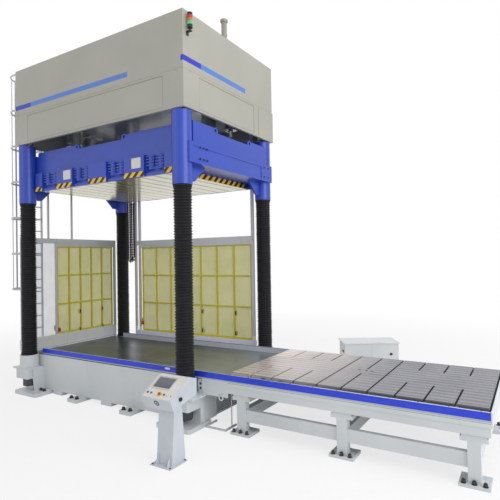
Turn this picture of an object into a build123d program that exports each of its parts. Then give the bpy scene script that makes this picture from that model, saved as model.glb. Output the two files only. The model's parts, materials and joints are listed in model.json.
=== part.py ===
from build123d import *
import math
import os

# Hydraulic spotting press with a moving table, in millimetres.
# X runs along the front towards the table's run-out, Y from front to back, Z up.
# The origin is on the floor, in the middle of the four columns.

# Sides of the small round pieces, of the collars and of the lifting eyes, which are cut in flats
FINE_SIDES = 16
COLLAR_SIDES = 24
EYE_SIDES = 12

# Guide columns and what is on them
COLUMN_X = 2310.0
COLUMN_Y = 1410.0
COLUMN_D = 220.0
NUT_FLATS = 240.0
NUT_H = 190.0
COLLAR_D = 400.0
COLLAR_H = 275.0
SLEEVE_D = 360.0
SLEEVE_L = 1320.0
SLEEVE_FIT = 0.05
SLEEVE_TOP_GAP = 15.0
BELLOWS_D = 345.0
BELLOWS_BORE_D = 250.0
BELLOWS_CUFF = 40.0
BELLOWS_WALL = 6.0
BELLOWS_FOLDS = 12
BELLOWS_SIDES = 16
BELLOWS_TOP_GAP = 0.3

# Bed
BED_L = 5060.0
BED_W = 2450.0
BED_LIFT = 80.0
BED_CORNER = 35.0
DECK_Z = 875.0
DECK_T = 20.0
RAIL_T = 35.0
RAIL_H = 125.0
RAIL_OVERHANG = 2090.0
RAIL_CHAMFER = 6.0
LUG_HALF_X = 223.0
LUG_OUT_Y = 198.0
LUG_H = 210.0
LUG_CORNER = 30.0
SEAT_PLATE_T = 30.0
SEAT_PLATE_IN = 250.0
SEAT_PLATE_OUT_X = 320.0
SEAT_PLATE_OUT_Y = 203.0
WEB_T = 50.0
WEB_TOP_REACH = 275.0
WEB_FOOT_REACH = 225.0
BASE_IN = 530.0
BASE_OUT_X = 257.0
BASE_OUT_Y = 215.0
BASE_UNDER = 220.0
BASE_CORNER = 30.0
ANCHOR_HOLE_D = 56.0
ANCHOR_HOLE_IN = 400.0
ANCHOR_HOLE_OUT = 110.0
FOOT_PITCH = 790.0
FOOT_COUNT = 4
FOOT_FIRST_X = -1560.0
FOOT_L = 300.0
FOOT_REACH = 225.0
GRILLE_W = 1580.0
GRILLE_TOP_Z = 400.0
GRILLE_DEPTH = 60.0
GRILLE_FRAME = 40.0
SLAT_T = 14.0
SLAT_COUNT = 6
END_GROOVE_Y = 870.0
END_GROOVE_W = 24.0
END_GROOVE_DEPTH = 15.0

# Floor bolts
BOLT_FLATS = 55.0
LEG_BOLT_FLATS = 36.0
BOLT_H = 35.0
BOLT_EDGE = 60.0

# Run-out extension
RUNOUT_X1 = 7130.0
RUNOUT_BOTTOM_Z = 675.0
CHANNEL_T = 20.0
CHANNEL_FLANGE = 120.0
APRON_X1 = 3090.0
APRON_BOTTOM_Z = 594.0
LEDGE_T = 12.0
LEDGE_H = 60.0
CROSS_COUNT = 7
CROSS_W = 80.0
END_PLATE_T = 20.0
END_PLATE_DROP = 15.0

# Legs of the extension
LEG_FIRST_X = 3338.0
LEG_PITCH = 1793.0
LEG_COUNT = 3
LEG_W = 160.0
LEG_D = 140.0
LEG_SETBACK = 29.0
LEG_FOOT_L = 380.0
LEG_FOOT_D = 350.0
LEG_FOOT_T = 48.0
LEG_FOOT_OUT = 54.0
LEG_HEAD_L = 340.0
LEG_HEAD_D = 240.0
LEG_HEAD_T = 60.0
LEG_CAP_L = 300.0
LEG_CAP_T = 35.0
STAND_RAIL_Z = 230.0
STAND_RAIL_H = 200.0
STAND_RAIL_T = 80.0
STAND_CROSS_H = 180.0
STAND_CROSS_W = 120.0
LEG_GUSSET = 150.0
LEG_GUSSET_T = 16.0

# Table
TABLE_L = 4000.0
TABLE_W = 2260.0
TABLE_T = 125.0
TABLE_TOP_Z = 1025.0
TABLE_CHAMFER = 8.0
TABLE_END_GAP = 23.0
SLOT_PITCH = 400.0
SLOT_W = 28.0
SLOT_HEAD_W = 50.0
SLOT_HEAD_H = 20.0
SLOT_DEPTH = 48.0
SLOT_FRONT_END = -385.0
SLOT_REAR_START = 470.0
SLOT_MID_FRONT_END = -180.0
SLOT_MID_REAR_START = 140.0
LOCATING_HOLE_D = 50.0
LOCATING_HOLE_DEPTH = 40.0
LOCATING_HOLE_X = (-103.0, 14.0, 107.0)
LOCATING_HOLE_Y = 50.0
WHEEL_D = 130.0
WHEEL_W = 40.0
WHEEL_SIDE_GAP = 7.0
WHEEL_RAIL_GAP = 0.3
AXLE_D = 40.0
AXLE_FIT = 0.05
WHEEL_OUTER = 650.0
WHEEL_INNER = 966.0

# Slide
SLIDE_BELOW_CROWN = 1510.0
PLATEN_L = 3950.0
PLATEN_W = 2570.0
PLATEN_T = 120.0
PLATEN_SLOT_PITCH = 330.0
PLATEN_SLOT_COUNT = 12
SLIDE_L = 4940.0
SLIDE_W = 2574.0
SLIDE_CORE_H = 815.0
SLIDE_END_H = 900.0
RIM_T = 40.0
FRONT_LUG_X = 717.0
SIDE_LUG_Y = 610.0
LUG_EYE_R = 80.0
LUG_EYE_HOLE_D = 64.0
LUG_EYE_DROP = 20.0
BLOCK_PITCH = 1056.0
BLOCK_L = 540.0
BLOCK_PROUD = 79.0
BLOCK_H = 410.0
BLOCK_END_X = 2086.0
FIN_COUNT = 4
FIN_L = 200.0
FIN_T = 22.0
FIN_PITCH = 56.0
FIN_PROUD = 52.0
FIN_GAP = 50.0
LIP_H = 56.0
LIP_PROUD = 45.0
SIDE_BOX_T = 60.0
SIDE_BOX_HALF_Y = 1460.0
SIDE_BOX_H = 370.0
SIDE_PANEL_Y0 = -1360.0
SIDE_PANEL_Y1 = 1000.0
SIDE_PANEL_INSET = 35.0
SIDE_PANEL_DEPTH = 12.0
GUSSET_T = 40.0
GUSSET_DROP = 290.0
GUSSET_REACH = 450.0
GUSSET_TIP = 150.0

# Cylinders
CYLINDER_INSET = 125.0
BARREL_D = 300.0
BARREL_OVER_SLIDE = 360.0
BARREL_UNDER_ROOF = 170.0
BARREL_END_T = 50.0
BARREL_FLANGE = 420.0
BARREL_FLANGE_T = 50.0
BARREL_WELL_GAP = 20.0
WELL_FLOOR_T = 45.0
RAM_D = 240.0
RAM_FIT = 0.1
RAM_END_GAP = 30.0

# Crown and its housing
HOUSING_L = 5000.0
HOUSING_W = 3140.0
HOUSING_WALL = 15.0
HOUSING_SEAM_H = 230.0
HOUSING_H = 1040.0
HOUSING_EDGE_R = 12.0
CROWN_BOTTOM_Z = 6100.0
CROWN_H = 660.0
CROWN_STEP = 50.0
SKIRT_T = 14.0
SKIRT_DROP = 445.0
SKIRT_LIP = 40.0
SKIRT_PANEL_DEPTH = 6.0
SKIRT_PANEL_LOW = 45.0
SKIRT_PANEL_HIGH = 50.0
SKIRT_PANEL_HALF_X = 2032.0
SKIRT_PANEL_Y0 = -1150.0
SKIRT_PANEL_Y1 = 750.0
SKIRT_GROOVE_Y = 925.0
SKIRT_GROOVE_W = 30.0
TANK_L = 1600.0
TANK_W = 1200.0
TANK_H = 520.0
TANK_X = -500.0
TANK_CAP_D = 120.0
TANK_CAP_H = 30.0
MOTOR_D = 340.0
MOTOR_L = 560.0
MOTOR_X = 900.0
MOTOR_Y = -420.0
MOTOR_FOOT_H = 60.0
MOTOR_FOOT_W = 226.0
PUMP_D = 220.0
PUMP_L = 220.0
MANIFOLD_L = 520.0
MANIFOLD_W = 320.0
MANIFOLD_H = 260.0
MANIFOLD_X = 950.0
MANIFOLD_Y = 420.0
VALVE_COUNT = 4
VALVE_W = 76.0
VALVE_H = 90.0
VENT_D = 110.0
VENT_H = 430.0
VENT_X = 2400.0
VENT_Y = -170.0
VENT_HAT_D = 150.0
VENT_HAT_H = 60.0

# Signal tower
TOWER_OUT = 70.0
TOWER_Y = -1452.0
TOWER_D = 92.0
TOWER_BELOW_ROOF = 385.0
TOWER_STEM_D = 40.0
TOWER_STEM_H = 44.0
TOWER_BASE_H = 61.0
TOWER_LENS_H = 55.0
TOWER_CAP_H = 46.0
BRACKET_T = 10.0
BRACKET_W = 62.0

# Guards
LEFT_GUARD_X = 2620.0
REAR_GUARD_Y = 1458.0
GUARD_T = 40.0
LEFT_POST_Y = 1376.0
LEFT_POST_W = 78.0
LEFT_MID_POST_Y = -485.0
LEFT_MID_POST_W = 54.0
LEFT_HEADER_Z = 3440.0
HEADER_H = 120.0
LEFT_BOARD_Z = 920.0
LEFT_SILL_Z = 1165.0
STAY_Y = (-690.0, -20.0)
STAY_W = 40.0
STAY_OVER_SKIRT = 105.0
PANE_T = 6.0
REAR_POST_W = 80.0
REAR_LEFT_POST_X = (-1830.0, -1680.0)
REAR_RIGHT_POST_X = 1990.0
REAR_HEADER_Z = 3400.0
REAR_BOARD_Z = 900.0
REAR_SILL_Z = 1056.0
BOARD_T = 85.0
GATE_T = 30.0
GATE_RUN_GAP = 5.0
GATE_SEAT_GAP = 0.3
GATE_SIDE_GAP = 9.0
GATE_TOP_GAP = 65.0
GATE_BAR = 42.0
LEFT_GATE_BAYS = 5
REAR_GATE_BAYS = 7
GATE_ROWS = 3
GATE_SHEET_T = 4.0
INTERLOCK_W = 44.0
INTERLOCK_D = 50.0
INTERLOCK_H = 150.0
INTERLOCK_Z = 1240.0

# Ladder at the left end
LADDER_X = -2950.0
LADDER_Y = -850.0
LADDER_W = 400.0
LADDER_OVER_ROOF = 230.0
LADDER_RAIL_W = 60.0
LADDER_RAIL_T = 20.0
RUNG = 28.0
RUNG_PITCH = 300.0
CAGE_R = 350.0
CAGE_BAR_T = 8.0
CAGE_BAR_H = 45.0
CAGE_BOTTOM_Z = 2300.0
CAGE_HOOPS = 7
CAGE_SIDES = 12
CAGE_STRAP_SIDES = (4, 5, 6, 7)
LADDER_STAY_DROP = (1000.0, 400.0)
LADDER_STAY = 40.0

# Cable chain at the rear
CHAIN_STRAND_W = 100.0
CHAIN_D = 55.0
CHAIN_GAP = 40.0
CHAIN_X = -1960.0
CHAIN_CLEAR = 9.0
CHAIN_BEND_DROP = 1540.0
CHAIN_LINK = 210.0
CHAIN_LINK_STEP = 6.0

# Operator's pedestal
PEDESTAL_X = 2975.0
PEDESTAL_Y = -2587.0
PEDESTAL_BASE_L = 398.0
PEDESTAL_BASE_W = 385.0
PEDESTAL_BASE_T = 15.0
PEDESTAL_COLUMN_L = 300.0
PEDESTAL_FOOT_D = 300.0
PEDESTAL_HEAD_D = 150.0
PEDESTAL_COLUMN_Y = -2537.0
CONSOLE_X0 = 2620.0
CONSOLE_X1 = 3190.0
CONSOLE_FACE_FOOT = (-2785.0, 976.0)
CONSOLE_FACE_HEAD = (-2368.0, 1235.0)
CONSOLE_BACK_TOP = (-2187.0, 1176.0)
CONSOLE_BACK_FOOT = (-2193.0, 943.0)
CONSOLE_KNEE = (-2575.0, 852.0)
CONSOLE_LIP = (-2703.0, 805.0)
FACE_INSET = 14.0
FACE_T = 4.0
FACE_RIM = 25.0
CONSOLE_DEPTH = 90.0
BUTTON_BELOW = 12.0
SCREEN_U = 75.0
SCREEN_V = 205.0
SCREEN_L = 330.0
SCREEN_W = 205.0
SCREEN_T = 5.0
BUTTON_D = 30.0
BUTTON_H = 14.0
BUTTON_FIT = 0.3
BUTTON_ROW_V = 95.0
BUTTON_U = (70.0, 140.0, 210.0, 390.0, 460.0)
ESTOP_U = 300.0
ESTOP_STEM_D = 22.0
ESTOP_HEAD_D = 42.0
ESTOP_HEAD_H = 16.0
KNOB_D = 64.0
KNOB_T = 26.0
KNOB_STEM_D = 16.0
KNOB_FIT = 0.6
KNOB_Y = -2570.0
KNOB_Z = 960.0
KNOB_GAP = 1.0
KNOB_LOBES = 6
KNOB_WAIST = 7.0

# Cabinet that stands behind the table
CABINET_X = 3990.0
CABINET_Y = 2050.0
CABINET_TURN = 31.2
CABINET_L = 1200.0
CABINET_D = 640.0
CABINET_H = 1035.0
CABINET_LID_T = 30.0
CABINET_LID_OUT = 20.0
CABINET_PLINTH_H = 90.0
CABINET_PLINTH_IN = 25.0
CABINET_DOOR_GROOVE = 8.0

# Values that follow from the ones above
BED_X = BED_L / 2
BED_Y = BED_W / 2
DECK_BOTTOM_Z = DECK_Z - DECK_T
RAIL_TOP_Z = DECK_Z + RAIL_H
COLLAR_Z = DECK_Z - COLLAR_H
LUG_TOP_Z = COLLAR_Z - SEAT_PLATE_T
LUG_BOTTOM_Z = LUG_TOP_Z - LUG_H
CROWN_TOP_Z = CROWN_BOTTOM_Z + CROWN_H
HOUSING_SEAM_Z = CROWN_BOTTOM_Z + HOUSING_SEAM_H
HOUSING_TOP_Z = HOUSING_SEAM_Z + HOUSING_H
SKIRT_BOTTOM_Z = CROWN_BOTTOM_Z - SKIRT_DROP
SLIDE_BOTTOM_Z = CROWN_BOTTOM_Z - SLIDE_BELOW_CROWN
SLIDE_CORE_TOP_Z = SLIDE_BOTTOM_Z + SLIDE_CORE_H
SLIDE_END_TOP_Z = SLIDE_BOTTOM_Z + SLIDE_END_H
BLOCK_TOP_Z = SLIDE_BOTTOM_Z + BLOCK_H
SLEEVE_TOP_Z = SKIRT_BOTTOM_Z - SLEEVE_TOP_GAP
SLEEVE_BOTTOM_Z = SLEEVE_TOP_Z - SLEEVE_L
TABLE_X0 = RUNOUT_X1 - TABLE_END_GAP - TABLE_L
TABLE_X = TABLE_X0 + TABLE_L / 2
AXLE_Z = DECK_Z + WHEEL_RAIL_GAP + WHEEL_D / 2
SLIDE_X = SLIDE_L / 2
SLIDE_Y = SLIDE_W / 2
CORE_BOTTOM_Z = SLIDE_BOTTOM_Z + PLATEN_T
BLOCK_Y = SLIDE_Y + BLOCK_PROUD
WELL_FLOOR_Z = CORE_BOTTOM_Z + WELL_FLOOR_T
CYLINDER_X = PLATEN_L / 2 - CYLINDER_INSET
BARREL_BOTTOM_Z = SLIDE_BOTTOM_Z + BARREL_OVER_SLIDE
BARREL_TOP_Z = HOUSING_TOP_Z - BARREL_UNDER_ROOF
HOUSING_X = HOUSING_L / 2
HOUSING_Y = HOUSING_W / 2
TOWER_BRACKET_Z = HOUSING_TOP_Z - TOWER_BELOW_ROOF
TOWER_BASE_Z = TOWER_BRACKET_Z + BRACKET_T + TOWER_STEM_H
STAY_TOP_Z = SKIRT_BOTTOM_Z + STAY_OVER_SKIRT
LADDER_TOP_Z = HOUSING_TOP_Z + LADDER_OVER_ROOF
CHAIN_BEND_Z = SLIDE_BOTTOM_Z - CHAIN_BEND_DROP
LEFT_HEADER_TOP_Z = LEFT_HEADER_Z + HEADER_H
GATE_OUT = GUARD_T / 2 + GATE_RUN_GAP


def box(x, y, z):
    size = [end - start for start, end in (x, y, z)]
    middle = [(start + end) / 2 for start, end in (x, y, z)]
    return Pos(*middle) * Box(*size)


def closed(points):
    return make_face(Polyline(*points, close=True))


def front_outline(points, y0, y1):
    """An outline of (x, z) points, carried along Y."""
    plane = Plane(origin=(0, y1, 0), x_dir=(1, 0, 0), z_dir=(0, -1, 0))
    return extrude(plane * closed(points), amount=y1 - y0)


def side_outline(points, x0, x1):
    """An outline of (y, z) points, carried along X."""
    plane = Plane(origin=(x0, 0, 0), x_dir=(0, 1, 0), z_dir=(1, 0, 0))
    return extrude(plane * closed(points), amount=x1 - x0)


def upright(x, y, diameter, z0, z1):
    return Pos(x, y, (z0 + z1) / 2) * Cylinder(diameter / 2, z1 - z0)


def lengthwise(y, z, diameter, x0, x1):
    return Pos((x0 + x1) / 2, y, z) * Rot(0, 90, 0) * Cylinder(diameter / 2, x1 - x0)


def crosswise(x, z, diameter, y0, y1):
    return Pos(x, (y0 + y1) / 2, z) * Rot(90, 0, 0) * Cylinder(diameter / 2, y1 - y0)


def flatted(x, y, diameter, z0, z1, sides=FINE_SIDES):
    """An upright of many narrow flats, for small round pieces and holes."""
    return extrude(Pos(x, y, z0) * RegularPolygon(diameter / 2, sides), amount=z1 - z0)


def hexagon(x, y, flats, z0, z1):
    return flatted(x, y, 2 * flats / math.sqrt(3), z0, z1, 6)


def both_sides(shape):
    return [shape, mirror(shape, about=Plane.XZ)]


def both_ends(shape):
    return [shape, mirror(shape, about=Plane.YZ)]


def corners(shape):
    return [copy for side in both_sides(shape) for copy in both_ends(side)]


def fused(shapes):
    return Part() + list(shapes)


def group(shapes):
    return Compound(children=[solid for shape in shapes for solid in shape.solids()])


def t_slot(length):
    """A T-slot cutter along Y that opens upwards at z = 0 and is centred on x = 0, y = 0."""
    neck_bottom = SLOT_HEAD_H - SLOT_DEPTH
    points = [
        (-SLOT_W / 2, 1), (-SLOT_W / 2, neck_bottom), (-SLOT_HEAD_W / 2, neck_bottom),
        (-SLOT_HEAD_W / 2, -SLOT_DEPTH), (SLOT_HEAD_W / 2, -SLOT_DEPTH),
        (SLOT_HEAD_W / 2, neck_bottom), (SLOT_W / 2, neck_bottom), (SLOT_W / 2, 1),
    ]
    return front_outline(points, -length / 2, length / 2)


# Bed

def column_collar(top):
    return flatted(COLUMN_X, COLUMN_Y, COLLAR_D, COLLAR_Z, top, COLLAR_SIDES)


def column_seat():
    """What carries one column: lug, seat plate, collar, upright web and base plate."""
    lug_x = (COLUMN_X - LUG_HALF_X, COLUMN_X + LUG_HALF_X)
    lug = box(lug_x, (BED_Y, COLUMN_Y + LUG_OUT_Y), (LUG_BOTTOM_Z, LUG_TOP_Z))
    lug = chamfer(lug.edges().filter_by(Axis.Z).group_by(Axis.Y)[-1], LUG_CORNER)
    seat = box((COLUMN_X - SEAT_PLATE_IN, COLUMN_X + SEAT_PLATE_OUT_X),
               (BED_Y, COLUMN_Y + SEAT_PLATE_OUT_Y), (LUG_TOP_Z, COLLAR_Z))
    web_points = [
        (BED_Y, BED_LIFT), (BED_Y + WEB_FOOT_REACH, BED_LIFT),
        (BED_Y + WEB_TOP_REACH, LUG_TOP_Z), (BED_Y, LUG_TOP_Z),
    ]
    web = side_outline(web_points, lug_x[0] - WEB_T, lug_x[0])
    base = box((COLUMN_X - BASE_IN, COLUMN_X + BASE_OUT_X),
               (BED_Y - BASE_UNDER, COLUMN_Y + BASE_OUT_Y), (0, BED_LIFT))
    base = chamfer(base.edges().filter_by(Axis.Z).group_by(Axis.Y)[-1], BASE_CORNER)
    base -= upright(COLUMN_X - ANCHOR_HOLE_IN, COLUMN_Y + ANCHOR_HOLE_OUT, ANCHOR_HOLE_D, -1, BED_LIFT + 1)
    collar = column_collar(DECK_Z)
    bore = upright(COLUMN_X, COLUMN_Y, COLUMN_D, LUG_BOTTOM_Z - 1, DECK_Z + 1)
    return lug + seat + web + base + (collar - bore) - bore


def foot_places():
    """Centre and reach of each foot under the front edge of the bed."""
    for index in range(FOOT_COUNT):
        yield FOOT_FIRST_X + index * FOOT_PITCH, FOOT_REACH if index % 2 else 0.0


def bed_frame():
    body = box((-BED_X, BED_X), (-BED_Y, BED_Y), (BED_LIFT, DECK_BOTTOM_Z))
    body = chamfer(body.edges().filter_by(Axis.Z), BED_CORNER)
    body += corners(column_seat())
    for x, reach in foot_places():
        foot = box((x - FOOT_L / 2, x + FOOT_L / 2), (BED_Y - BASE_UNDER, BED_Y + reach), (0, BED_LIFT))
        body += both_sides(foot)
    body -= box((BED_X - GRILLE_DEPTH, BED_X + 1), (-GRILLE_W / 2, GRILLE_W / 2), (0, GRILLE_TOP_Z))
    groove_y = (END_GROOVE_Y - END_GROOVE_W / 2, END_GROOVE_Y + END_GROOVE_W / 2)
    return body - both_sides(box((BED_X - END_GROOVE_DEPTH, BED_X + 1), groove_y, (0, DECK_BOTTOM_Z)))


def bed_deck():
    deck = box((-BED_X, BED_X), (-BED_Y, BED_Y), (DECK_BOTTOM_Z, DECK_Z))
    return deck - corners(column_collar(DECK_Z + 1))


def bed_grille():
    """A slatted cover in the recess at the right end of the bed."""
    x = (BED_X - GRILLE_DEPTH, BED_X - GRILLE_DEPTH / 2)
    half = GRILLE_W / 2
    panel = box(x, (-half, half), (BED_LIFT, GRILLE_TOP_Z))
    window = (half - GRILLE_FRAME, BED_LIFT + GRILLE_FRAME, GRILLE_TOP_Z - GRILLE_FRAME)
    panel -= box((x[0] - 1, x[1] + 1), (-window[0], window[0]), window[1:])
    step = (window[2] - window[1]) / (SLAT_COUNT + 1)
    for index in range(SLAT_COUNT):
        z = window[1] + (index + 1) * step
        panel += box(x, (-window[0] - 1, window[0] + 1), (z - SLAT_T / 2, z + SLAT_T / 2))
    return panel


def rail():
    """The rail on the rear edge of the bed and of the extension."""
    bar = box((-RAIL_OVERHANG, RUNOUT_X1), (BED_Y - RAIL_T, BED_Y), (DECK_Z, RAIL_TOP_Z))
    return chamfer(bar.edges().filter_by(Axis.X).group_by(Axis.Z)[-1], RAIL_CHAMFER)


# Columns

def guide_columns():
    return corners(upright(COLUMN_X, COLUMN_Y, COLUMN_D, LUG_BOTTOM_Z, CROWN_TOP_Z))


def column_nuts():
    """Cap nuts under the bed's lugs and on the crown."""
    below = hexagon(COLUMN_X, COLUMN_Y, NUT_FLATS, LUG_BOTTOM_Z - NUT_H, LUG_BOTTOM_Z)
    above = hexagon(COLUMN_X, COLUMN_Y, NUT_FLATS, CROWN_TOP_Z, CROWN_TOP_Z + NUT_H)
    return corners(below) + corners(above)


def ring_corners(x, y, diameter, z):
    turns = [2 * math.pi * side / BELLOWS_SIDES for side in range(BELLOWS_SIDES)]
    return [(x + diameter / 2 * math.cos(turn), y + diameter / 2 * math.sin(turn), z) for turn in turns]


def ring_walls(lower, upper):
    """Flat faces between two rings of corners."""
    for side in range(BELLOWS_SIDES):
        other = (side + 1) % BELLOWS_SIDES
        yield Face(Wire.make_polygon([lower[side], lower[other], upper[other], upper[side]]))


def column_bellows(x, y):
    """Folds between two plain cuffs, built of flats round the column."""
    root = BELLOWS_BORE_D + 2 * BELLOWS_WALL
    bottom = DECK_Z
    top = SLEEVE_BOTTOM_Z - BELLOWS_TOP_GAP
    pitch = (top - bottom - 2 * BELLOWS_CUFF) / BELLOWS_FOLDS
    rings = [(BELLOWS_D, bottom), (BELLOWS_D, bottom + BELLOWS_CUFF)]
    for fold in range(BELLOWS_FOLDS):
        start = bottom + BELLOWS_CUFF + fold * pitch
        rings += [(root, start + pitch / 2), (BELLOWS_D, start + pitch)]
    rings.append((BELLOWS_D, top))
    outside = [ring_corners(x, y, diameter, z) for diameter, z in rings]
    faces = [face for pair in zip(outside, outside[1:]) for face in ring_walls(*pair)]
    inside = [ring_corners(x, y, BELLOWS_BORE_D, z) for z in (bottom, top)]
    faces += ring_walls(*inside)
    for outer, inner in zip((outside[0], outside[-1]), inside):
        faces.append(Face(Wire.make_polygon(outer), [Wire.make_polygon(inner)]))
    return Solid(Shell(faces))


# Slide

def guide_sleeves():
    bore = COLUMN_D + 2 * SLEEVE_FIT
    sleeve = upright(COLUMN_X, COLUMN_Y, SLEEVE_D, SLEEVE_BOTTOM_Z, SLEEVE_TOP_Z)
    return corners(sleeve - upright(COLUMN_X, COLUMN_Y, bore, SLEEVE_BOTTOM_Z - 1, SLEEVE_TOP_Z + 1))


def rim_points(half_length, eye):
    """Upper rim of a slide wall: high ends that slope down to a low middle beside the lifting eyes."""
    high = [(half_length, SLIDE_END_TOP_Z), (eye + LUG_EYE_R, SLIDE_END_TOP_Z), (eye, SLIDE_CORE_TOP_Z)]
    low = [(-a, z) for a, z in reversed(high)]
    return [(-half_length, CORE_BOTTOM_Z), (half_length, CORE_BOTTOM_Z)] + high + low


def rim_with_eyes(half_length, eye):
    """A slide wall in the XZ plane with two lifting eyes on its upper rim."""
    wall = front_outline(rim_points(half_length, eye), 0, RIM_T)
    middle = (SLIDE_END_TOP_Z + SLIDE_CORE_TOP_Z) / 2 - LUG_EYE_DROP
    for x in (-eye, eye):
        wall += Rot(90, 0, 0) * flatted(x, middle, 2 * LUG_EYE_R, -RIM_T, 0, EYE_SIDES)
        wall -= Rot(90, 0, 0) * flatted(x, middle + LUG_EYE_DROP, LUG_EYE_HOLE_D, -RIM_T - 1, 1, EYE_SIDES)
    return wall


def front_rim():
    return Pos(0, SLIDE_Y - RIM_T, 0) * rim_with_eyes(BLOCK_END_X, FRONT_LUG_X)


def side_rim():
    return Pos(SLIDE_X, 0, 0) * Rot(0, 0, 90) * rim_with_eyes(SLIDE_Y, SIDE_LUG_Y)


def block_spans():
    """Left and right ends of the raised blocks along the slide's lower edge."""
    centres = [-2 * BLOCK_PITCH, -BLOCK_PITCH, 0.0, BLOCK_PITCH, 2 * BLOCK_PITCH]
    return [(max(c - BLOCK_L / 2, -BLOCK_END_X), min(c + BLOCK_L / 2, BLOCK_END_X)) for c in centres]


def lower_edge():
    """Raised blocks along the lower edge, joined by a lip under the pockets between them."""
    spans = block_spans()
    blocks = [box(span, (SLIDE_Y, BLOCK_Y), (SLIDE_BOTTOM_Z, BLOCK_TOP_Z)) for span in spans]
    for left, right in zip(spans, spans[1:]):
        lip_z = (SLIDE_BOTTOM_Z, SLIDE_BOTTOM_Z + LIP_H)
        blocks.append(box((left[1], right[0]), (SLIDE_Y, SLIDE_Y + LIP_PROUD), lip_z))
    return fused(blocks)


def pocket_fins():
    """Two stacks of fins in each pocket of the front."""
    fins = []
    spans = block_spans()
    for left, right in zip(spans, spans[1:]):
        for side in (-1, 1):
            centre = (left[1] + right[0]) / 2 + side * (FIN_L + FIN_GAP) / 2
            for index in range(FIN_COUNT):
                z = BLOCK_TOP_Z - FIN_PITCH * (index + 1)
                fins.append(box((centre - FIN_L / 2, centre + FIN_L / 2),
                                (-SLIDE_Y - FIN_PROUD, -SLIDE_Y), (z, z + FIN_T)))
    return fins


def side_box():
    """Flat box on the side wall, with a shallow panel in its face."""
    top = CORE_BOTTOM_Z + SIDE_BOX_H
    x1 = SLIDE_X + SIDE_BOX_T
    body = box((SLIDE_X - 1, x1), (-SIDE_BOX_HALF_Y, SIDE_BOX_HALF_Y), (CORE_BOTTOM_Z, top))
    panel_z = (CORE_BOTTOM_Z + SIDE_PANEL_INSET, top - 2 * SIDE_PANEL_INSET)
    return body - box((x1 - SIDE_PANEL_DEPTH, x1 + 1), (SIDE_PANEL_Y0, SIDE_PANEL_Y1), panel_z)


def sleeve_gusset():
    edge = COLUMN_Y - SLEEVE_D / 2
    bottom = CORE_BOTTOM_Z - GUSSET_DROP
    points = [
        (edge - GUSSET_REACH, CORE_BOTTOM_Z + 1), (edge - GUSSET_TIP, bottom),
        (COLUMN_Y, bottom), (COLUMN_Y, CORE_BOTTOM_Z + 1),
    ]
    return side_outline(points, COLUMN_X - GUSSET_T / 2, COLUMN_X + GUSSET_T / 2)


def slide_frame():
    body = box((-SLIDE_X, SLIDE_X), (-SLIDE_Y, SLIDE_Y), (CORE_BOTTOM_Z, SLIDE_CORE_TOP_Z))
    body += both_sides(front_rim())
    body += both_ends(side_rim())
    body += both_sides(lower_edge())
    body += pocket_fins()
    body += both_ends(side_box())
    body += corners(sleeve_gusset())
    body -= corners(upright(COLUMN_X, COLUMN_Y, SLEEVE_D, SLEEVE_BOTTOM_Z, SLEEVE_TOP_Z))
    half = BARREL_D / 2 + BARREL_WELL_GAP
    well = box((CYLINDER_X - half, CYLINDER_X + half), (-half, half), (WELL_FLOOR_Z, SLIDE_END_TOP_Z))
    return body - both_ends(well)


def upper_platen():
    top = SLIDE_BOTTOM_Z + PLATEN_T
    plate = box((-PLATEN_L / 2, PLATEN_L / 2), (-PLATEN_W / 2, PLATEN_W / 2), (SLIDE_BOTTOM_Z, top))
    first = -PLATEN_SLOT_PITCH * (PLATEN_SLOT_COUNT - 1) / 2
    cutter = Rot(180, 0, 0) * t_slot(PLATEN_W + 2)
    for index in range(PLATEN_SLOT_COUNT):
        plate -= Pos(first + index * PLATEN_SLOT_PITCH, 0, SLIDE_BOTTOM_Z) * cutter
    return plate


# Cylinders

def cylinder_barrel():
    """Barrel open at its foot, with a closed head and a square flange under the crown."""
    tube = upright(CYLINDER_X, 0, BARREL_D, BARREL_BOTTOM_Z, BARREL_TOP_Z)
    half = BARREL_FLANGE / 2
    flange_x = (CYLINDER_X - half, CYLINDER_X + half)
    tube += box(flange_x, (-half, half), (CROWN_BOTTOM_Z - BARREL_FLANGE_T, CROWN_BOTTOM_Z))
    bore = RAM_D + 2 * RAM_FIT
    return tube - upright(CYLINDER_X, 0, bore, BARREL_BOTTOM_Z - 1, BARREL_TOP_Z - BARREL_END_T)


def cylinder_ram():
    return upright(CYLINDER_X, 0, RAM_D, WELL_FLOOR_Z, BARREL_TOP_Z - BARREL_END_T - RAM_END_GAP)


# Crown and housing

def crown_frame():
    lower = box((-HOUSING_X, HOUSING_X), (-HOUSING_Y, HOUSING_Y), (CROWN_BOTTOM_Z, HOUSING_SEAM_Z))
    upper = box((CROWN_STEP - HOUSING_X, HOUSING_X - CROWN_STEP),
                (CROWN_STEP - HOUSING_Y, HOUSING_Y - CROWN_STEP), (HOUSING_SEAM_Z, CROWN_TOP_Z))
    body = lower + upper
    body -= corners(upright(COLUMN_X, COLUMN_Y, COLUMN_D, CROWN_BOTTOM_Z - 1, CROWN_TOP_Z + 1))
    return body - both_ends(upright(CYLINDER_X, 0, BARREL_D, CROWN_BOTTOM_Z - 1, CROWN_TOP_Z + 1))


def housing_shell():
    outer = box((-HOUSING_X, HOUSING_X), (-HOUSING_Y, HOUSING_Y), (HOUSING_SEAM_Z, HOUSING_TOP_Z))
    outer = fillet(outer.edges().filter_by(Axis.Z), HOUSING_EDGE_R)
    inner_x = HOUSING_X - HOUSING_WALL
    inner_y = HOUSING_Y - HOUSING_WALL
    inner_z = (HOUSING_SEAM_Z - 1, HOUSING_TOP_Z - HOUSING_WALL)
    return outer - box((-inner_x, inner_x), (-inner_y, inner_y), inner_z)


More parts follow.
